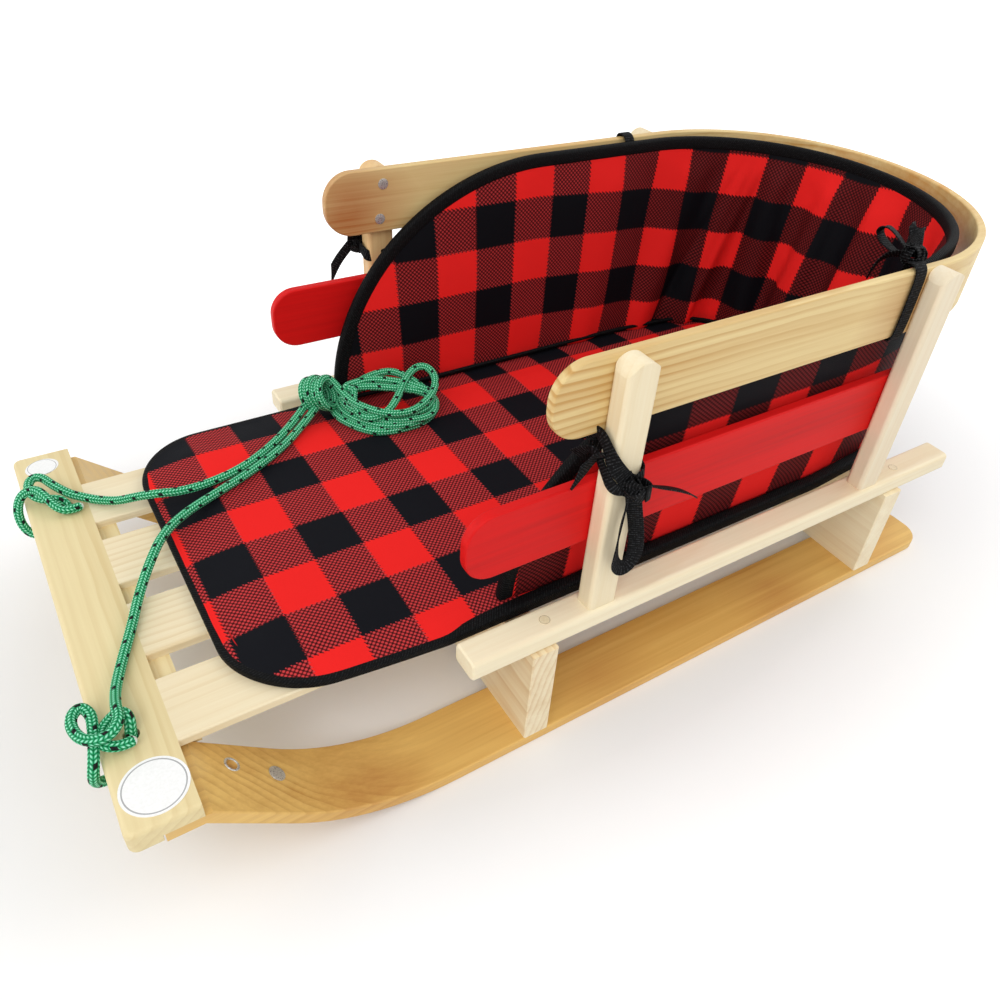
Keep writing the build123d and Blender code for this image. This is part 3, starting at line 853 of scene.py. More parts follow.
def puffed(piece, held, pressure, steps=20):
    """Swells a closed pad as cloth under pressure, with held corner points fixed, and keeps the result."""
    group = piece.vertex_groups.new(name="held")
    for index, weight in held:
        group.add([index], weight, "REPLACE")
    before = [v.co.copy() for v in piece.data.vertices]
    only(piece)
    cloth = piece.modifiers.new("cloth", "CLOTH")
    cloth.settings.use_pressure = True
    cloth.settings.uniform_pressure_force = pressure
    cloth.settings.vertex_group_mass = "held"
    cloth.settings.pin_stiffness = 1.0
    cloth.settings.tension_stiffness = 22
    cloth.settings.compression_stiffness = 22
    cloth.settings.shear_stiffness = 8
    cloth.settings.bending_stiffness = 0.6
    cloth.settings.quality = 6
    cloth.settings.effector_weights.gravity = 0
    cloth.collision_settings.use_collision = False
    scene = bpy.context.scene
    for number in range(1, steps + 1):
        scene.frame_set(number)
    bpy.ops.object.modifier_apply(modifier="cloth")
    scene.frame_set(1)
    return before


def pad_copy(name, node, voxel):
    """A copy of a plain cushion as one even net of faces."""
    source = nodes[node]
    piece = bpy.data.objects.new(name, source.data.copy())
    bpy.context.scene.collection.objects.link(piece)
    piece.data.materials.clear()
    only(piece)
    bpy.ops.object.mode_set(mode="EDIT")
    bpy.ops.mesh.select_all(action="SELECT")
    bpy.ops.mesh.remove_doubles(threshold=1e-6)
    bpy.ops.object.mode_set(mode="OBJECT")
    piece.data.remesh_voxel_size = voxel
    bpy.ops.object.voxel_remesh()
    return piece


seat_check_move = (-0.2375, 0.0340, 0)


class SLED_OT_seat_pad(bpy.types.Operator):
    """Makes the quilted seat from the plain cushion"""
    bl_idname = "sled.seat_pad"
    bl_label = "Seat pad"

    def execute(self, context):
        check = context.scene.sled_check
        piece = pad_copy("seat_cushion", "seat_pad", pad_net)
        bottom = seat_low.z
        held = []
        for vertex in piece.data.vertices:
            depth = seat_depth(vertex.co.x, vertex.co.y)
            thin = seat_edge_share + (1 - seat_edge_share) * smooth_step(0.0, seat_slope, depth)
            share = (vertex.co.z - bottom) / (seat_high.z - bottom)
            low_edge = bottom + 0.0016 * (1 - smooth_step(0.0, 0.02, depth))
            vertex.co.z = low_edge + max(0.0, share) * seat_thickness * thin
            if depth < 0.007 or share < 0.4:
                held.append((vertex.index, 1.0))
        before = puffed(piece, held, pad_pressure)
        for vertex, old in zip(piece.data.vertices, before):
            moved = vertex.co - old
            if moved.length > seat_swell:
                vertex.co = old + moved.normalized() * seat_swell
            depth = seat_depth(old.x, old.y)
            if old.z > seat_middle.z:
                # Soft puckers run in from the binding and fade towards the middle
                edge_run = old.x if abs(old.y - seat_centre) > abs(old.x - seat_middle.x) * 0.5 else old.y
                pucker = noise.noise(Vector((edge_run * 48, depth * 9, 3.1)))
                fade = smooth_step(0.004, 0.012, depth) * (1 - smooth_step(0.02, 0.055, depth))
                wave = noise.noise(Vector((old.x * 6, old.y * 8, 8.7)))
                vertex.co.z += 0.0008 * pucker * fade + 0.0012 * wave * smooth_step(0.01, 0.05, depth)
                vertex.co.z = min(vertex.co.z, seat_high.z + 0.0012)
            vertex.co.x, vertex.co.y = seat_worn(vertex.co.x, vertex.co.y)
        soften = piece.modifiers.new("soften", "SUBSURF")
        soften.levels = soften.render_levels = 1
        only(piece)
        bpy.ops.object.modifier_apply(modifier="soften")
        settle(piece, 60)
        fabric = check_fabric("seat_check", check, "Object", check.along, check.across, seat_check_move)
        dress(piece, fabric)
        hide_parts("seat_pad")
        return {"FINISHED"}


# Soft folds of the wall: column of the check, width in columns, depth, slant in columns per metre of height
wall_folds = (
    (3.6, 0.40, 0.0012, 2.0), (4.9, 0.34, -0.0014, -1.0), (5.8, 0.42, 0.0022, 5.5), (6.5, 0.30, -0.0020, 3.5),
    (7.1, 0.34, 0.0030, 3.0), (7.8, 0.28, -0.0024, 1.5), (8.5, 0.36, 0.0032, -1.5), (9.2, 0.30, -0.0024, 0.0),
    (9.9, 0.38, 0.0032, 1.5), (10.6, 0.30, -0.0026, -1.0), (11.3, 0.38, 0.0032, 1.0), (12.0, 0.30, -0.0024, 0.5),
    (12.8, 0.38, 0.0030, -1.5), (13.6, 0.30, -0.0022, -3.0), (14.4, 0.40, 0.0028, -2.0), (15.2, 0.34, -0.0018, -1.0),
    (16.2, 0.40, 0.0018, 1.0), (6.75, 0.13, -0.0022, 7.5), (7.45, 0.12, 0.0020, 5.0), (8.9, 0.13, -0.0018, -2.0),
    (9.55, 0.13, 0.0018, 2.0), (10.3, 0.12, -0.0018, 0.0), (11.0, 0.14, 0.0018, 1.5),
)


# How far the rows of the check hang down round the back, by column
drop_columns = (1.5, 4.5, 6.5, 10.5, 12.5, 14.0)
drop_heights = (0.0, 0.008, 0.017, 0.018, 0.006, 0.0)
# Height of the check's rows, where the lowest starts, and how far the foot reaches down over the seat's edge
wall_row_pitch, row_start, foot_drop = 0.040, 0.004, 0.0045
outer_column, outer_start, outer_pitch, outer_row = 22, 0.005, 0.0435, 0.0005
fold_gain = 1.5
# Painted shade: how much darker the wall's cloth is painted than the seat's, and where its mixed squares are painted
# darker still
wall_painted_shade, wall_painted_shade_span = 0.7, (0.14, 0.28)


def wall_fold(column, height):
    """Soft upright folds where the wall is gathered round the back."""
    ripple = 0.0
    for middle, width, depth, lean in wall_folds:
        away = (column - middle - lean * (height - 0.09)) / width
        ripple += fold_gain * depth * exp(-away * away)
    return ripple


class SLED_OT_back_pad(bpy.types.Operator):
    """Makes the wrap-around back from the plain cushion"""
    bl_idname = "sled.back_pad"
    bl_label = "Back pad"

    def execute(self, context):
        check = context.scene.sled_check
        piece = pad_copy("back_cushion", "back_pad", pad_net)
        held = []
        for vertex in piece.data.vertices:
            column, depth, outward = wall_place(vertex.co)
            near = edge_distance(vertex.co.x, vertex.co.z)
            height = vertex.co.z - wall_low.z
            thin = smooth_step(0.0, 0.03, near) * smooth_step(-0.012, 0.018, height)
            thin = wall_edge_share + (1 - wall_edge_share) * thin
            offset = depth - wall_thickness / 2
            vertex.co += outward * (offset * (1 - thin))
            if near < 0.006 or height < 0.004:
                held.append((vertex.index, 1.0))
        before = puffed(piece, held, pad_pressure)
        places = []
        for vertex, old in zip(piece.data.vertices, before):
            column, depth, outward = wall_place(old)
            moved = vertex.co - old
            if moved.length > wall_swell:
                moved = moved.normalized() * wall_swell
            out = moved.dot(outward)
            if out > 0.001:
                moved -= outward * (out - 0.001)
            height = old.z - wall_low.z
            near = edge_distance(old.x, old.z)
            fade = smooth_step(0.006, 0.035, near) * (1.0 + 0.7 * (1 - smooth_step(0.02, 0.17, height)))
            inner = smooth_step(0.3, 0.9, depth / wall_thickness)
            fold = wall_fold(column, height) * fade * inner
            small = noise.noise(Vector((column * 1.1, height * 14, 1.7))) * 0.0008 * smooth_step(0.004, 0.02, near)
            vertex.co = old + moved - outward * (fold + small * inner)
            vertex.co.z -= wall_sag(old)
            vertex.co.z -= foot_drop * (1 - smooth_step(0.0, 0.014, height))
            row = height - row_start + np.interp(column, drop_columns, drop_heights)
            if old.y > 0 and depth < wall_thickness / 2:
                # The outer cloth is a piece of its own, cut at another place of the check
                outer = outer_column + (old.x + outer_start) / outer_pitch
                column += (outer - column) * smooth_step(0.02, 0.14, old.y)
                row += (height + outer_row - row) * smooth_step(0.02, 0.14, old.y)
            places.append(((column + 1) * check.along, row))
        mesh = piece.data
        layer = mesh.uv_layers.new(name="UVMap")
        for loop in mesh.loops:
            layer.data[loop.index].uv = places[loop.vertex_index]
        soften = piece.modifiers.new("soften", "SUBSURF")
        soften.levels = soften.render_levels = 1
        only(piece)
        bpy.ops.object.modifier_apply(modifier="soften")
        settle(piece, 60)
        # The wall's cloth carries painted shade
        fabric = check_fabric("back_check", check, "UV", check.along, wall_row_pitch, (0, 0, 0), wall_painted_shade, wall_painted_shade_span)
        dress(piece, fabric)
        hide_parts("back_pad")
        return {"FINISHED"}


# How high the seat's tape is and how much flatter it lies in front, and how thick the wall's is and how much wider
seat_tape_height, seat_tape_flat, wall_tape_thickness, wall_tape_share = 0.0114, 0.36, 0.0078, 1.2
fold_front, fold_right, fold_left = 0.295, -0.065, 0.105
seam_inset, seam_rise, seam_radius, seam_points = 0.0112, 0.0024, 0.0019, 10


class SLED_OT_bindings(bpy.types.Operator):
    """Makes the tape bound round the edges of the seat and the back, and the black cord of their seam, which also
    stands in for the shade in the seam
    """
    bl_idname = "sled.bindings"
    bl_label = "Bindings"

    def execute(self, context):
        tape = context.scene.sled_tape
        # The last number sets the strength of the painted highlight on the ribs
        material = ribbed_tape("binding_tape", tape.black, 0.6, 0.10)
        line, inward = seat_outline(tape.binding / 2 - 0.0008)
        profile = rounded_profile(tape.binding, seat_tape_height, 0.0026)
        seat = sweep("seat_binding", line, inward, profile, closed=True)
        for vertex in seat.data.vertices:
            # The edge lies flat towards the front
            flat = 1 - seat_tape_flat * smooth_step(0.10, 0.19, vertex.co.x)
            vertex.co.z = seat_low.z + (vertex.co.z - seat_low.z) * flat
        settle(seat, 60)
        dress(seat, material)

        line = wall_edge()
        sides = [wall_place(p)[2] for p in line]
        line = [p - Vector((0, 0, wall_sag(p))) for p in line]
        profile = rounded_profile(wall_tape_thickness, tape.binding * wall_tape_share, 0.0030)
        edge = sweep("back_binding", line, sides, profile)
        settle(edge, 60)
        dress(edge, material)

        # A narrow fold of red cloth shows inside the front binding
        line, inward = seat_outline(tape.binding + 0.0002, 0.003)
        shown = [k for k, p in enumerate(line) if p.x > fold_front and fold_right < p.y < fold_left]
        start = next(k for k in shown if k - 1 not in shown)
        run = [(start + k) % len(line) for k in range(len(shown))]
        places = [line[k] + Vector((0, 0, 0.0018)) for k in run]
        fold = sweep("front_fold", places, [inward[k] for k in run], rounded_profile(0.0011, 0.0014, 0.0004, 2))
        settle(fold, 60)
        dress(fold, ribbed_tape("fold_tape", shade(context.scene.sled_check.red, 0.6), 0.3, 0.0))

        # The wall is sewn to the seat over a thin black cord, which also stands in for the shade in the seam
        half = [Vector((x - seam_inset * cos(facing), y - seam_inset * sin(facing), seat_high.z + seam_rise))
                for x, y, facing in foot_rows[2:]]
        line = even_line([Vector((p.x, -p.y, p.z)) for p in half] + half[-2::-1], 0.004)
        turns = [2 * pi * k / seam_points for k in range(seam_points)]
        circle = [(seam_radius * cos(angle), seam_radius * sin(angle)) for angle in turns]
        seam = sweep("seam_cord_and_shade", line, carried_sides(line, (0, 0, 1)), circle)
        settle(seam, 60)
        dress(seam, material)
        return {"FINISHED"}


# Ties

def ribbon(name, points, settings, material, width=None, point_length=0):
    """A flat tie along control points in millimetres, each with the direction of its width."""
    places = [Vector(p[:3]) / 1000 for p in points]
    tips = [Vector(p[:3]) / 1000 + Vector(p[3:]).normalized() * 0.01 for p in points]
    line, edge = nurbs_line(places), nurbs_line(tips)
    sides = [(b - a).normalized() for a, b in zip(line, edge)]
    piece = sweep(name, line, sides,
                  rounded_profile(width or settings.width, settings.thickness, settings.thickness * 0.45, 2),
                  point_length=point_length)
    settle(piece, 50)
    return dress(piece, material)


def knot_wrap(name, centre, axis, reach, settings, material, width=None):
    """A little more than one turn of a ribbon round a knot. Its width lies along the axis."""
    axis = Vector(axis).normalized()
    side = axis.cross(Vector((0.3, 0.2, 1))).normalized()
    up = side.cross(axis)
    points = []
    for k in range(11):
        angle = 2 * pi * k / 9
        away = side * (reach[0] * cos(angle)) + up * (reach[1] * sin(angle))
        points.append((*(Vector(centre) + away * (1 + 0.02 * k)), *axis))
    return ribbon(name, points, settings, material, width)


# Each tie: name, width in millimetres, rings of its pointed end, and its points with the direction of their width
ties = (
    # Left front post: two strands from the pad over the front face, one round the rear, a loop and two ends
    ("tie_front_left_upper", 11, 0, (
        (92, 158, 262, 0.3, 0.2, 1), (90, 167, 269, 0.2, 0.5, 0.9), (88, 175, 272, 0, 0.66, 0.75),
        (87.5, 184, 265, 0, 0.66, 0.75), (86.5, 191.5, 256, -0.4, 0.3, 0.7), (80, 193, 247, -0.76, 0, 0.65),
        (73, 194, 239, -0.76, 0, 0.65))),
    ("tie_front_left_lower", 8, 0, (
        (92, 158, 246, 0.3, 0.2, 1), (90, 167, 256, 0.2, 0.5, 0.9), (87.8, 174, 256, 0, 0.66, 0.75),
        (87.5, 183, 247, 0, 0.66, 0.75), (86.5, 191.5, 239, -0.4, 0.3, 0.7), (80, 194, 235, -0.6, 0, 0.8),
        (73, 195, 235, -0.4, 0, 0.9))),
    ("tie_front_left_rear", 9, 0, (
        (72, 194, 238, 0.2, 0, 1), (64, 193, 241, 0.24, 0, 0.97), (58.8, 191, 243, 0.3, 0.2, 0.95),
        (58, 183, 244, 0, 0.1, 1), (58, 173, 246, 0, 0.1, 1), (61, 169, 248, -0.2, 0, 1), (74, 168, 252, 0, 0, 1),
        (86, 163, 254, 0, 0, 1))),
    ("tie_front_left_loop", 11, 0, (
        (72, 195, 234, 1, 0.5, 0), (74, 196, 222, 0.8, 0.7, 0), (77, 197, 204, 0.7, 0.8, 0),
        (78, 198, 186, 0.8, 0.7, 0), (77.5, 198.5, 172, 0.9, 0.4, -0.5), (69, 199, 165, 0, 0.4, -1),
        (60.5, 198.5, 172, -0.9, 0.4, -0.5), (60.5, 198, 186, -0.8, 0.7, 0), (64, 197.5, 204, -0.7, 0.8, 0),
        (69, 197, 222, -0.8, 0.7, 0), (71, 196, 234, -1, 0.5, 0))),
    ("tie_front_left_end", 10, 9, (
        (66, 195, 237, 0.1, 0.8, 0.5), (54, 198, 232, 0.1, 0.9, 0.4), (38, 200, 226, 0.1, 0.95, 0.3),
        (22, 201, 217, 0.1, 0.95, 0.3), (7, 200, 204, 0.1, 0.95, 0.3))),
    ("tie_front_left_tail", 10, 9, (
        (87.6, 184, 259, 0.2, 0.6, 0.7), (89.5, 178, 257, 0.4, 0.5, 0.8), (93, 175, 250, 0.6, 0.2, 0.8),
        (99, 174.5, 243, 0.7, 0, 0.7), (108, 174.5, 235, 0.7, 0, 0.7))),
    # Right front post: once round the post, a knot on its front edge and a hanging end
    ("tie_front_right_round", 10, 0, (
        (72, -156, 251, 0, 0.2, 1), (67, -165, 249, 0, 0.2, 1), (66, -172, 247, -0.1, 0, 1),
        (76, -174.2, 245, 0.05, 0, 1), (86, -174, 246, -0.1, -0.1, 1), (87.6, -181, 249, 0, -0.1, 1),
        (87.4, -190, 251, 0, -0.1, 1), (80, -192, 251, 0, 0, 1), (66, -192, 250, 0, 0, 1),
        (58, -190, 249, 0, 0, 1), (57.8, -181, 248, 0, 0, 1), (58.5, -173, 248, 0, 0, 1),
        (62, -168, 249, 0, 0, 1))),
    ("tie_front_right_up", 13, 0, (
        (91, -194, 248, 1, 0.2, 0), (91, -194, 258, 1, 0.3, 0), (88, -194, 268, 1, 0.1, 0),
        (82, -195, 274, 1, 0, 0), (78, -196, 262, 1, 0, 0), (82, -196, 250, 1, 0, 0.2))),
    ("tie_front_right_end", 8, 8, (
        (92, -195, 252, 0.9, -0.2, 0.4), (97, -196, 246, 0.8, -0.4, 0.5), (104, -197, 238, 0.8, -0.4, 0.5),
        (111, -196, 229, 0.8, -0.4, 0.5), (117, -195, 219, 0.8, -0.4, 0.5))),
    # Left rear: over the band beside the post, with a bow above the edge of the pad
    ("tie_rear_left_strap", 13, 0, (
        (-212, 157, 318, 1, 0, 0), (-209, 160, 326, 1, 0, 0), (-205, 166, 329, 1, 0, 0), (-203, 172, 328.5, 1, 0, 0),
        (-203, 175.4, 324, 1, 0, 0), (-203.5, 175.4, 305, 1, 0, 0), (-203, 175.4, 285, 1, 0, 0),
        (-202, 175.2, 271, 1, 0, 0), (-202, 172, 266.8, 1, 0, 0), (-203, 165, 268, 1, 0, 0),
        (-204, 163.5, 276, 1, 0, 0))),
    ("tie_rear_left_bow_1", 12, 0, (
        (-210, 158, 330, 0.9, 0.1, 0.4), (-209, 148, 336, 0.9, 0.1, 0.4), (-211, 136, 341, 0.9, 0.1, 0.3),
        (-214, 126, 340, 0.9, 0.2, 0.2), (-216, 121, 334, 0.9, 0.2, 0), (-216, 128, 328, 0.9, 0.2, 0),
        (-214, 142, 325, 0.9, 0.2, 0.2), (-211, 156, 327, 0.9, 0.1, 0.4))),
    ("tie_rear_left_bow_2", 12, 0, (
        (-212, 158, 330, 0.3, 0.9, 0.2), (-222, 151, 336, 0.4, 0.8, 0.3), (-233, 142, 340, 0.5, 0.8, 0.2),
        (-241, 134, 337, 0.6, 0.7, 0), (-241, 134, 330, 0.6, 0.7, 0), (-231, 143, 327, 0.5, 0.8, 0.2),
        (-219, 153, 327, 0.4, 0.8, 0.3), (-212, 157, 328, 0.3, 0.9, 0.2))),
    ("tie_rear_left_end", 10, 7, (
        (-208, 156, 330, 0.6, 0.3, 0.7), (-203, 149, 330, 0.6, 0.3, 0.7), (-199, 142, 324, 0.7, 0.3, 0.5),
        (-197, 138, 314, 0.9, 0.3, 0), (-196, 136, 303, 0.9, 0.3, 0))),
    # Right rear: a plain loop over the band, knotted outside
    ("tie_rear_right_strap", 11, 0, (
        (-191, -157, 314, 1, 0, 0), (-191, -159, 324, 1, 0, 0), (-191, -165, 328.5, 1, 0, 0),
        (-191, -172, 328.5, 1, 0, 0), (-191, -175.4, 324, 1, 0, 0), (-191, -175.6, 305, 1, 0, 0),
        (-191, -175.6, 285, 1, 0, 0), (-191, -175.2, 271, 1, 0, 0), (-191, -172, 266.8, 1, 0, 0),
        (-191, -165, 268, 1, 0, 0), (-191, -163.4, 280, 1, 0, 0), (-191, -161, 300, 1, 0, 0))),
    ("tie_rear_right_end_1", 10, 7, (
        (-190, -177, 296, 1, 0, 0.2), (-186, -179.5, 284, 1, 0, 0.3), (-182, -179, 268, 1, 0, 0.2),
        (-180, -177.5, 254, 1, 0.1, 0.2))),
    ("tie_rear_right_end_2", 10, 7, (
        (-192, -177, 296, 1, 0, -0.2), (-197, -179.5, 283, 1, 0, -0.3), (-201, -179, 266, 1, 0, -0.2),
        (-204, -177.5, 250, 1, 0.1, -0.2))),
)
# Each knot: name, middle, and for each turn the axis, the reach across it and the width
knots = (
    ("knot_front_left", (72, 196.5, 237.5), (
        ((0.15, 0.1, 1), (10.5, 4.6), 13), ((0.6, 0.1, 0.8), (9.0, 5.4), 11), ((-0.5, 0.1, 0.9), (8.5, 5.2), 11))),
    ("knot_front_right", (88, -195.5, 250), (
        ((0.1, 0.1, 1), (6.5, 4.4), 13), ((0.7, 0.1, 0.7), (6.0, 4.4), 10))),
    ("knot_rear_left", (-211, 159, 330), (
        ((1, 0.1, 0.1), (6.5, 7.0), 13), ((0.3, 0.9, 0.2), (7.5, 6.0), 11), ((0.6, 0.2, 0.8), (7.5, 6.0), 10))),
    ("knot_rear_right", (-191, -178, 298), (
        ((0.1, 0.1, 1), (6.5, 3.4), 11), ((0.7, 0.1, 0.7), (6.0, 3.6), 9))),
)


class SLED_OT_ties(bpy.types.Operator):
    """Makes the black ties that hold the pads to the posts and the band"""
    bl_idname = "sled.ties"
    bl_label = "Ties"

    def execute(self, context):
        settings = context.scene.sled_tape
        # The last number sets the strength of the painted highlight on the ribs
        material = ribbed_tape("tie_ribbon", settings.black, 0.0, 0.30)
        for name, width, rings, points in ties:
            ribbon(name, points, settings, material, width / 1000, rings)
        for name, middle, turns in knots:
            for number, (axis, reach, width) in enumerate(turns, 1):
                knot_wrap(f"{name}_{number}", middle, axis, reach, settings, material, width / 1000)
        return {"FINISHED"}


# Fittings

def facing_turn(direction):
    """Euler turn that brings +Z to a direction."""
    return Vector(direction).to_track_quat("Z", "Y").to_euler()


def pick_face(piece, direction):
    """Selects the face of a mesh that faces one way, in edit mode."""
    edit = bmesh.from_edit_mesh(piece.data)
    for face in edit.faces:
        face.select_set(face.normal.dot(Vector(direction)) > 0.99)
    edit.select_flush_mode()
    bmesh.update_edit_mesh(piece.data)


def screw_head(name, place, direction, radius, height, material):
    """A domed bolt head on a thin flange, its foot at the place given in millimetres."""
    bpy.ops.object.select_all(action="DESELECT")
    bpy.ops.mesh.primitive_cylinder_add(vertices=36, radius=radius / 1000, depth=height * 0.24 / 1000)
    head = bpy.context.active_object
    head.name = name
    bpy.ops.object.mode_set(mode="EDIT")
    pick_face(head, (0, 0, 1))
    bpy.ops.mesh.inset(thickness=radius * 0.10 / 1000)
    # The dome rises in rings that draw in
    for reach, rise in ((0.985, 0.20), (0.93, 0.20), (0.82, 0.17), (0.68, 0.11), (0.50, 0.06)):
        bpy.ops.mesh.extrude_region_move(TRANSFORM_OT_translate={"value": (0, 0, height * rise / 1000)})
        bpy.ops.transform.resize(value=(reach, reach, 1))
    bpy.ops.object.mode_set(mode="OBJECT")
    soft = head.modifiers.new("soft", "BEVEL")
    soft.width, soft.segments = radius * 0.05 / 1000, 2
    soft.angle_limit = radians(35)
    bpy.ops.object.modifier_apply(modifier="soft")
    head.location = (Vector(place) + Vector(direction).normalized() * height * 0.12) / 1000
    head.rotation_euler = facing_turn(direction)
    settle(head, 35)
    return dress(head, material)


def eyelet(name, place, direction, radius, thickness, material):
    """A ring of metal pressed round a hole."""
    bpy.ops.object.select_all(action="DESELECT")
    bpy.ops.mesh.primitive_torus_add(
        major_segments=40, minor_segments=12, major_radius=radius / 1000, minor_radius=thickness / 1000)
    ring = bpy.context.active_object
    ring.name = name
    bpy.ops.object.mode_set(mode="EDIT")
    bpy.ops.mesh.select_all(action="SELECT")
    bpy.ops.transform.resize(value=(1, 1, 0.55))
    bpy.ops.object.mode_set(mode="OBJECT")
    ring.location = Vector(place) / 1000
    ring.rotation_euler = facing_turn(direction)
    settle(ring, 60)
    return dress(ring, material)


def label(name, place, size, turn, material):
    """A thin round disc with a softened edge, lying on a board."""
    bpy.ops.object.select_all(action="DESELECT")
    bpy.ops.mesh.primitive_cylinder_add(vertices=72, radius=1, depth=1)
    disc = bpy.context.active_object
    disc.name = name
    bpy.ops.object.mode_set(mode="EDIT")
    pick_face(disc, (0, 0, 1))
    bpy.ops.mesh.inset(thickness=0.03)
    bpy.ops.transform.translate(value=(0, 0, 0.25))
    bpy.ops.object.mode_set(mode="OBJECT")
    disc.scale = (size[0] / 1000, size[1] / 1000, 0.00028)
    disc.rotation_euler = (0, 0, radians(turn))
    disc.location = (place[0] / 1000, place[1] / 1000, place[2] / 1000 + 0.00014)
    settle(disc, 40)
    return dress(disc, material)


# The way that the upper face of the runners' curved fronts looks
slope = (-0.669, 0.0, 0.743)
# Name, foot, direction, radius and height of each bolt head on the left, in millimetres
screws = (
    ("band_bolt_1", (72.5, 166, 312), (0, -1, 0), 4.6, 3.0), ("band_bolt_2", (76.5, 166, 282), (0, -1, 0), 4.6, 3.0),
    ("runner_bolt", (315, 163, 58.6), slope, 6.2, 4.2),
)
rail_plugs = ((118, 181, 122), (-272, 181, 122), (118, -181, 122), (-272, -181, 122))
eyelet_place, eyelet_radius, eyelet_thickness = (339.8, 157, 80.9), 4.9, 0.9
plug_radius = 4.3


class SLED_OT_fittings(bpy.types.Operator):
    """Makes the bolt heads, screw plugs, eyelets and blank labels"""
    bl_idname = "sled.fittings"
    bl_label = "Fittings"

    def execute(self, context):
        metal = zinc("zinc")
        for name, (x, y, z), (dx, dy, dz), radius, height in screws:
            for side, sign in (("left", 1), ("right", -1)):
                screw_head(f"{name}_{side}", (x, sign * y, z), (dx, sign * dy, dz), radius, height, metal)
        for side, sign in (("left", 1), ("right", -1)):
            x, y, z = eyelet_place
            eyelet(f"ski_eyelet_{side}", (x, sign * y, z), slope, eyelet_radius, eyelet_thickness, metal)
        for number, place in enumerate(rail_plugs, 1):
            # The dark ring on each plug is painted shade round its sunk edge
            face = label_paper(f"plug_{number}", [c / 1000 for c in place], 0.0042, linear(226, 208, 166),
                               linear(244, 232, 198), linear(104, 74, 44), 0.92)
            label(f"rail_plug_{number}", place, (plug_radius, plug_radius), 0, face)
        near, far = (385, 170, 111), (388, -175, 111)
        label("label_left", near, (20, 20), 0, label_paper("label_left", [c / 1000 for c in near], 0.020))
        label("label_right", far, (13, 11), 20, label_paper("label_right", [c / 1000 for c in far], 0.012))
        return {"FINISHED"}


# Wood

class SLED_OT_wood(bpy.types.Operator):
    """Gives every wooden piece its own board of wood"""
    bl_idname = "sled.wood"
    bl_label = "Wood"

    def execute(self, context):
        tones = context.scene.sled_wood
        honey, pale = tones.honey, tones.pale
        amber, rust, cream = linear(214, 148, 58), linear(168, 92, 40), linear(236, 212, 160)
        honey_dark = linear(172, 112, 40)
        slat, slat_dark = linear(242, 229, 197), linear(212, 182, 126)
        blotches = (((-0.02, 0.163, 0.005), 0.34, 0.6, amber), ((0.25, 0.175, 0.02), 0.05, 0.5, rust),
                    ((0.05, 0.17, 0.01), 0.07, 0.5, rust), ((-0.16, 0.17, 0.01), 0.06, 0.5, rust),
                    ((-0.30, 0.17, 0.01), 0.05, 0.4, rust))
        boards = (
            # node, light, dark, grain axis, figure, streaks, warm places
            ("runner_left", honey, honey_dark, "X", 0.45, 0.65,
             (*blotches, ((0.398, 0.163, 0.097), 0.05, 1.0, cream))),
            ("runner_right", honey, honey_dark, "X", 0.45, 0.65, (((0.37, -0.163, 0.085), 0.08, 1.0, cream),)),
            ("front_bar", linear(234, 218, 170), linear(204, 176, 120), "Y", 0.40, 0.55, ()),
            *((f"cross_board_{end}", pale, linear(206, 164, 102), "Y", 0.35, 0.5, ()) for end in ("front", "rear")),
            *((f"rail_{side}", linear(250, 240, 210), linear(222, 192, 140), "X", 0.18, 0.35, ())
              for side in ("left", "right")),
            ("post_front_left", linear(246, 234, 204), linear(220, 188, 124), "Z", 0.14, 0.35, ()),
            ("post_front_right", linear(236, 204, 148), linear(196, 124, 56), "Z", 0.40, 0.6, ()),
            ("post_rear_left", linear(244, 232, 206), linear(210, 176, 122), "Z", 0.14, 0.35, ()),
            ("post_rear_right", linear(242, 228, 196), linear(216, 180, 112), "Z", 0.14, 0.35, ()),
            ("back_band", linear(236, 214, 156), linear(198, 154, 88), "X", 0.75, 1.0,
             (((0.105, -0.166, 0.295), 0.060, 0.9, rust), ((-0.210, 0.172, 0.285), 0.060, 0.6, rust),
              ((-0.395, 0.02, 0.29), 0.17, 0.8, amber), ((-0.10, -0.166, 0.30), 0.12, 0.35, amber))),
            *((f"deck_slat_{number}", slat, slat_dark, "X", 0.55, 0.25, ()) for number in range(1, 5)),
        )
        finishes = {}
        for seed, (node, light, dark, axis, figure, streaks, warm) in enumerate(boards, 1):
            finishes[node] = wood("wood_" + node, light, dark, seed, axis, figure, streaks, warm)
        for seed, node in enumerate(("side_board_left", "side_board_right"), 1):
            finishes[node] = stained("stain_" + node, tones.stain, seed)
        for node, material in finishes.items():
            nodes[node].data.materials.clear()
            nodes[node].data.materials.append(material)
        return {"FINISHED"}


# Stage

# The photo's camera: its place, its turn in degrees, and how far the picture is shifted
camera_place = (0.38019, 0.49921, 0.56813)
camera_turn = (50.945, -4.229, 147.217)
camera_shift = (-0.0234, -0.0066)
# Side of the floor, half length and half width of its shaded patch, and how strongly the open floor glows
floor_side, patch_size, floor_glow = 60, (0.45, 0.24), 0.6
lamp_target = (0, 0, 0.15)
lamps = (
    # name, place, size, share of the key's power
    ("key", (1.1, 1.3, 1.9), 1.6, 1.0),
    ("fill", (1.6, -0.8, 1.2), 1.8, 0.45),
    ("back", (-1.5, 0.4, 1.5), 1.6, 0.5),
)


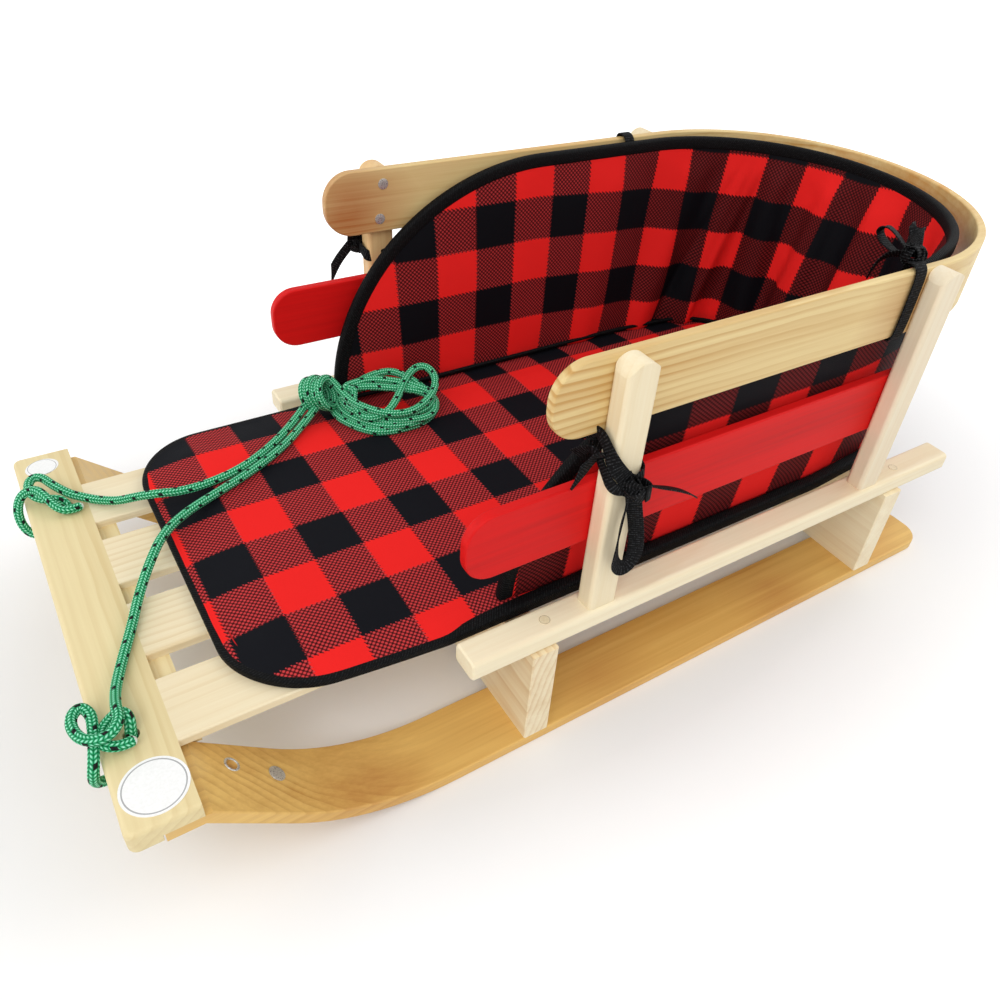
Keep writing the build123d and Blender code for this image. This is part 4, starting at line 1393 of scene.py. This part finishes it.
class SLED_OT_stage(bpy.types.Operator):
    """Makes the floor, the lamps, the world and the camera"""
    bl_idname = "sled.stage"
    bl_label = "Stage"

    def execute(self, context):
        settings = context.scene.sled_stage
        scene = context.scene
        bpy.ops.object.select_all(action="DESELECT")
        bpy.ops.mesh.primitive_plane_add(size=floor_side, location=(0, 0, 0))
        floor = context.active_object
        floor.name = "floor"
        shader = Shader("floor_white")
        shader.finish(settings.floor, 0.9)
        paths = shader.add("LightPath")
        seen = shader.math("MAXIMUM", paths.outputs["Is Camera Ray"], paths.outputs["Is Glossy Ray"])
        # The glow that keeps the background white stays away from the sled's shadow
        away = shader.add("VectorMath", operation="LENGTH")
        shader.join(shader.place("Object", scale=(1 / patch_size[0], 1 / patch_size[1], 0)), away.inputs[0])
        open_floor = shader.math("MULTIPLY_ADD", away.outputs["Value"], 0.6, -0.6, clamp=True)
        glow = shader.math("MULTIPLY", seen, shader.math("MULTIPLY", open_floor, floor_glow))
        shader.join(glow, shader.surface.inputs["Emission Strength"])
        shader.surface.inputs["Emission Color"].default_value = (1, 1, 1, 1)
        floor.data.materials.append(shader.material)

        world = bpy.data.worlds.new("studio")
        world.use_nodes = True
        scene.world = world
        tree = world.node_tree
        background = tree.nodes["Background"]
        paths = tree.nodes.new("ShaderNodeLightPath")
        background.inputs["Color"].default_value = (1, 1, 1, 1)
        direct = tree.nodes.new("ShaderNodeMath")
        direct.operation = "MAXIMUM"
        tree.links.new(paths.outputs["Is Camera Ray"], direct.inputs[0])
        tree.links.new(paths.outputs["Is Glossy Ray"], direct.inputs[1])
        strength = tree.nodes.new("ShaderNodeMath")
        strength.operation = "MULTIPLY_ADD"
        tree.links.new(direct.outputs[0], strength.inputs[0])
        strength.inputs[1].default_value = 0.5
        strength.inputs[2].default_value = 0.5
        tree.links.new(strength.outputs[0], background.inputs["Strength"])

        for name, place, size, share in lamps:
            light = bpy.data.lights.new(name, "AREA")
            light.energy = settings.key * share
            light.size = size
            lamp = bpy.data.objects.new(name, light)
            lamp.location = place
            lamp.rotation_euler = (Vector(lamp_target) - Vector(place)).to_track_quat("-Z", "Y").to_euler()
            scene.collection.objects.link(lamp)

        camera = bpy.data.objects.new("camera", bpy.data.cameras.new("camera"))
        camera.location = camera_place
        camera.rotation_euler = Euler([radians(a) for a in camera_turn], "XYZ")
        camera.data.lens = settings.lens
        camera.data.sensor_width = 36.0
        camera.data.shift_x, camera.data.shift_y = camera_shift
        camera.data.clip_start = 0.01
        scene.collection.objects.link(camera)
        scene.camera = camera
        scene.view_settings.view_transform = "Standard"
        return {"FINISHED"}


class SLED_PT_panel(bpy.types.Panel):
    """Buttons for every operator, and the settings"""
    bl_label = "Pull sled"
    bl_idname = "SLED_PT_panel"
    bl_space_type = "VIEW_3D"
    bl_region_type = "UI"
    bl_category = "Sled"

    def draw(self, context):
        for operator in operators:
            self.layout.operator(operator.bl_idname)
        for group in settings_groups:
            values = getattr(context.scene, group)
            for key in settings_groups[group].__annotations__:
                self.layout.prop(values, key)


settings_groups = {
    "sled_rope": SledRopeSettings,
    "sled_check": SledCheckSettings,
    "sled_tape": SledTapeSettings,
    "sled_wood": SledWoodSettings,
    "sled_stage": SledStageSettings,
}
operators = (
    SLED_OT_stage, SLED_OT_rope, SLED_OT_wood, SLED_OT_seat_pad, SLED_OT_back_pad, SLED_OT_bindings, SLED_OT_ties,
    SLED_OT_fittings,
)


def register():
    for made in (*settings_groups.values(), *operators, SLED_PT_panel):
        bpy.utils.register_class(made)
    for group, made in settings_groups.items():
        setattr(bpy.types.Scene, group, bpy.props.PointerProperty(type=made))


def unregister():
    for group in settings_groups:
        delattr(bpy.types.Scene, group)
    for made in reversed((*settings_groups.values(), *operators, SLED_PT_panel)):
        bpy.utils.unregister_class(made)


def main():
    """Makes every piece and the stage."""
    register()
    bpy.ops.sled.stage()
    bpy.ops.sled.rope()
    bpy.ops.sled.wood()
    bpy.ops.sled.seat_pad()
    bpy.ops.sled.back_pad()
    bpy.ops.sled.bindings()
    bpy.ops.sled.ties()
    bpy.ops.sled.fittings()


if __name__ == "__main__":
    main()
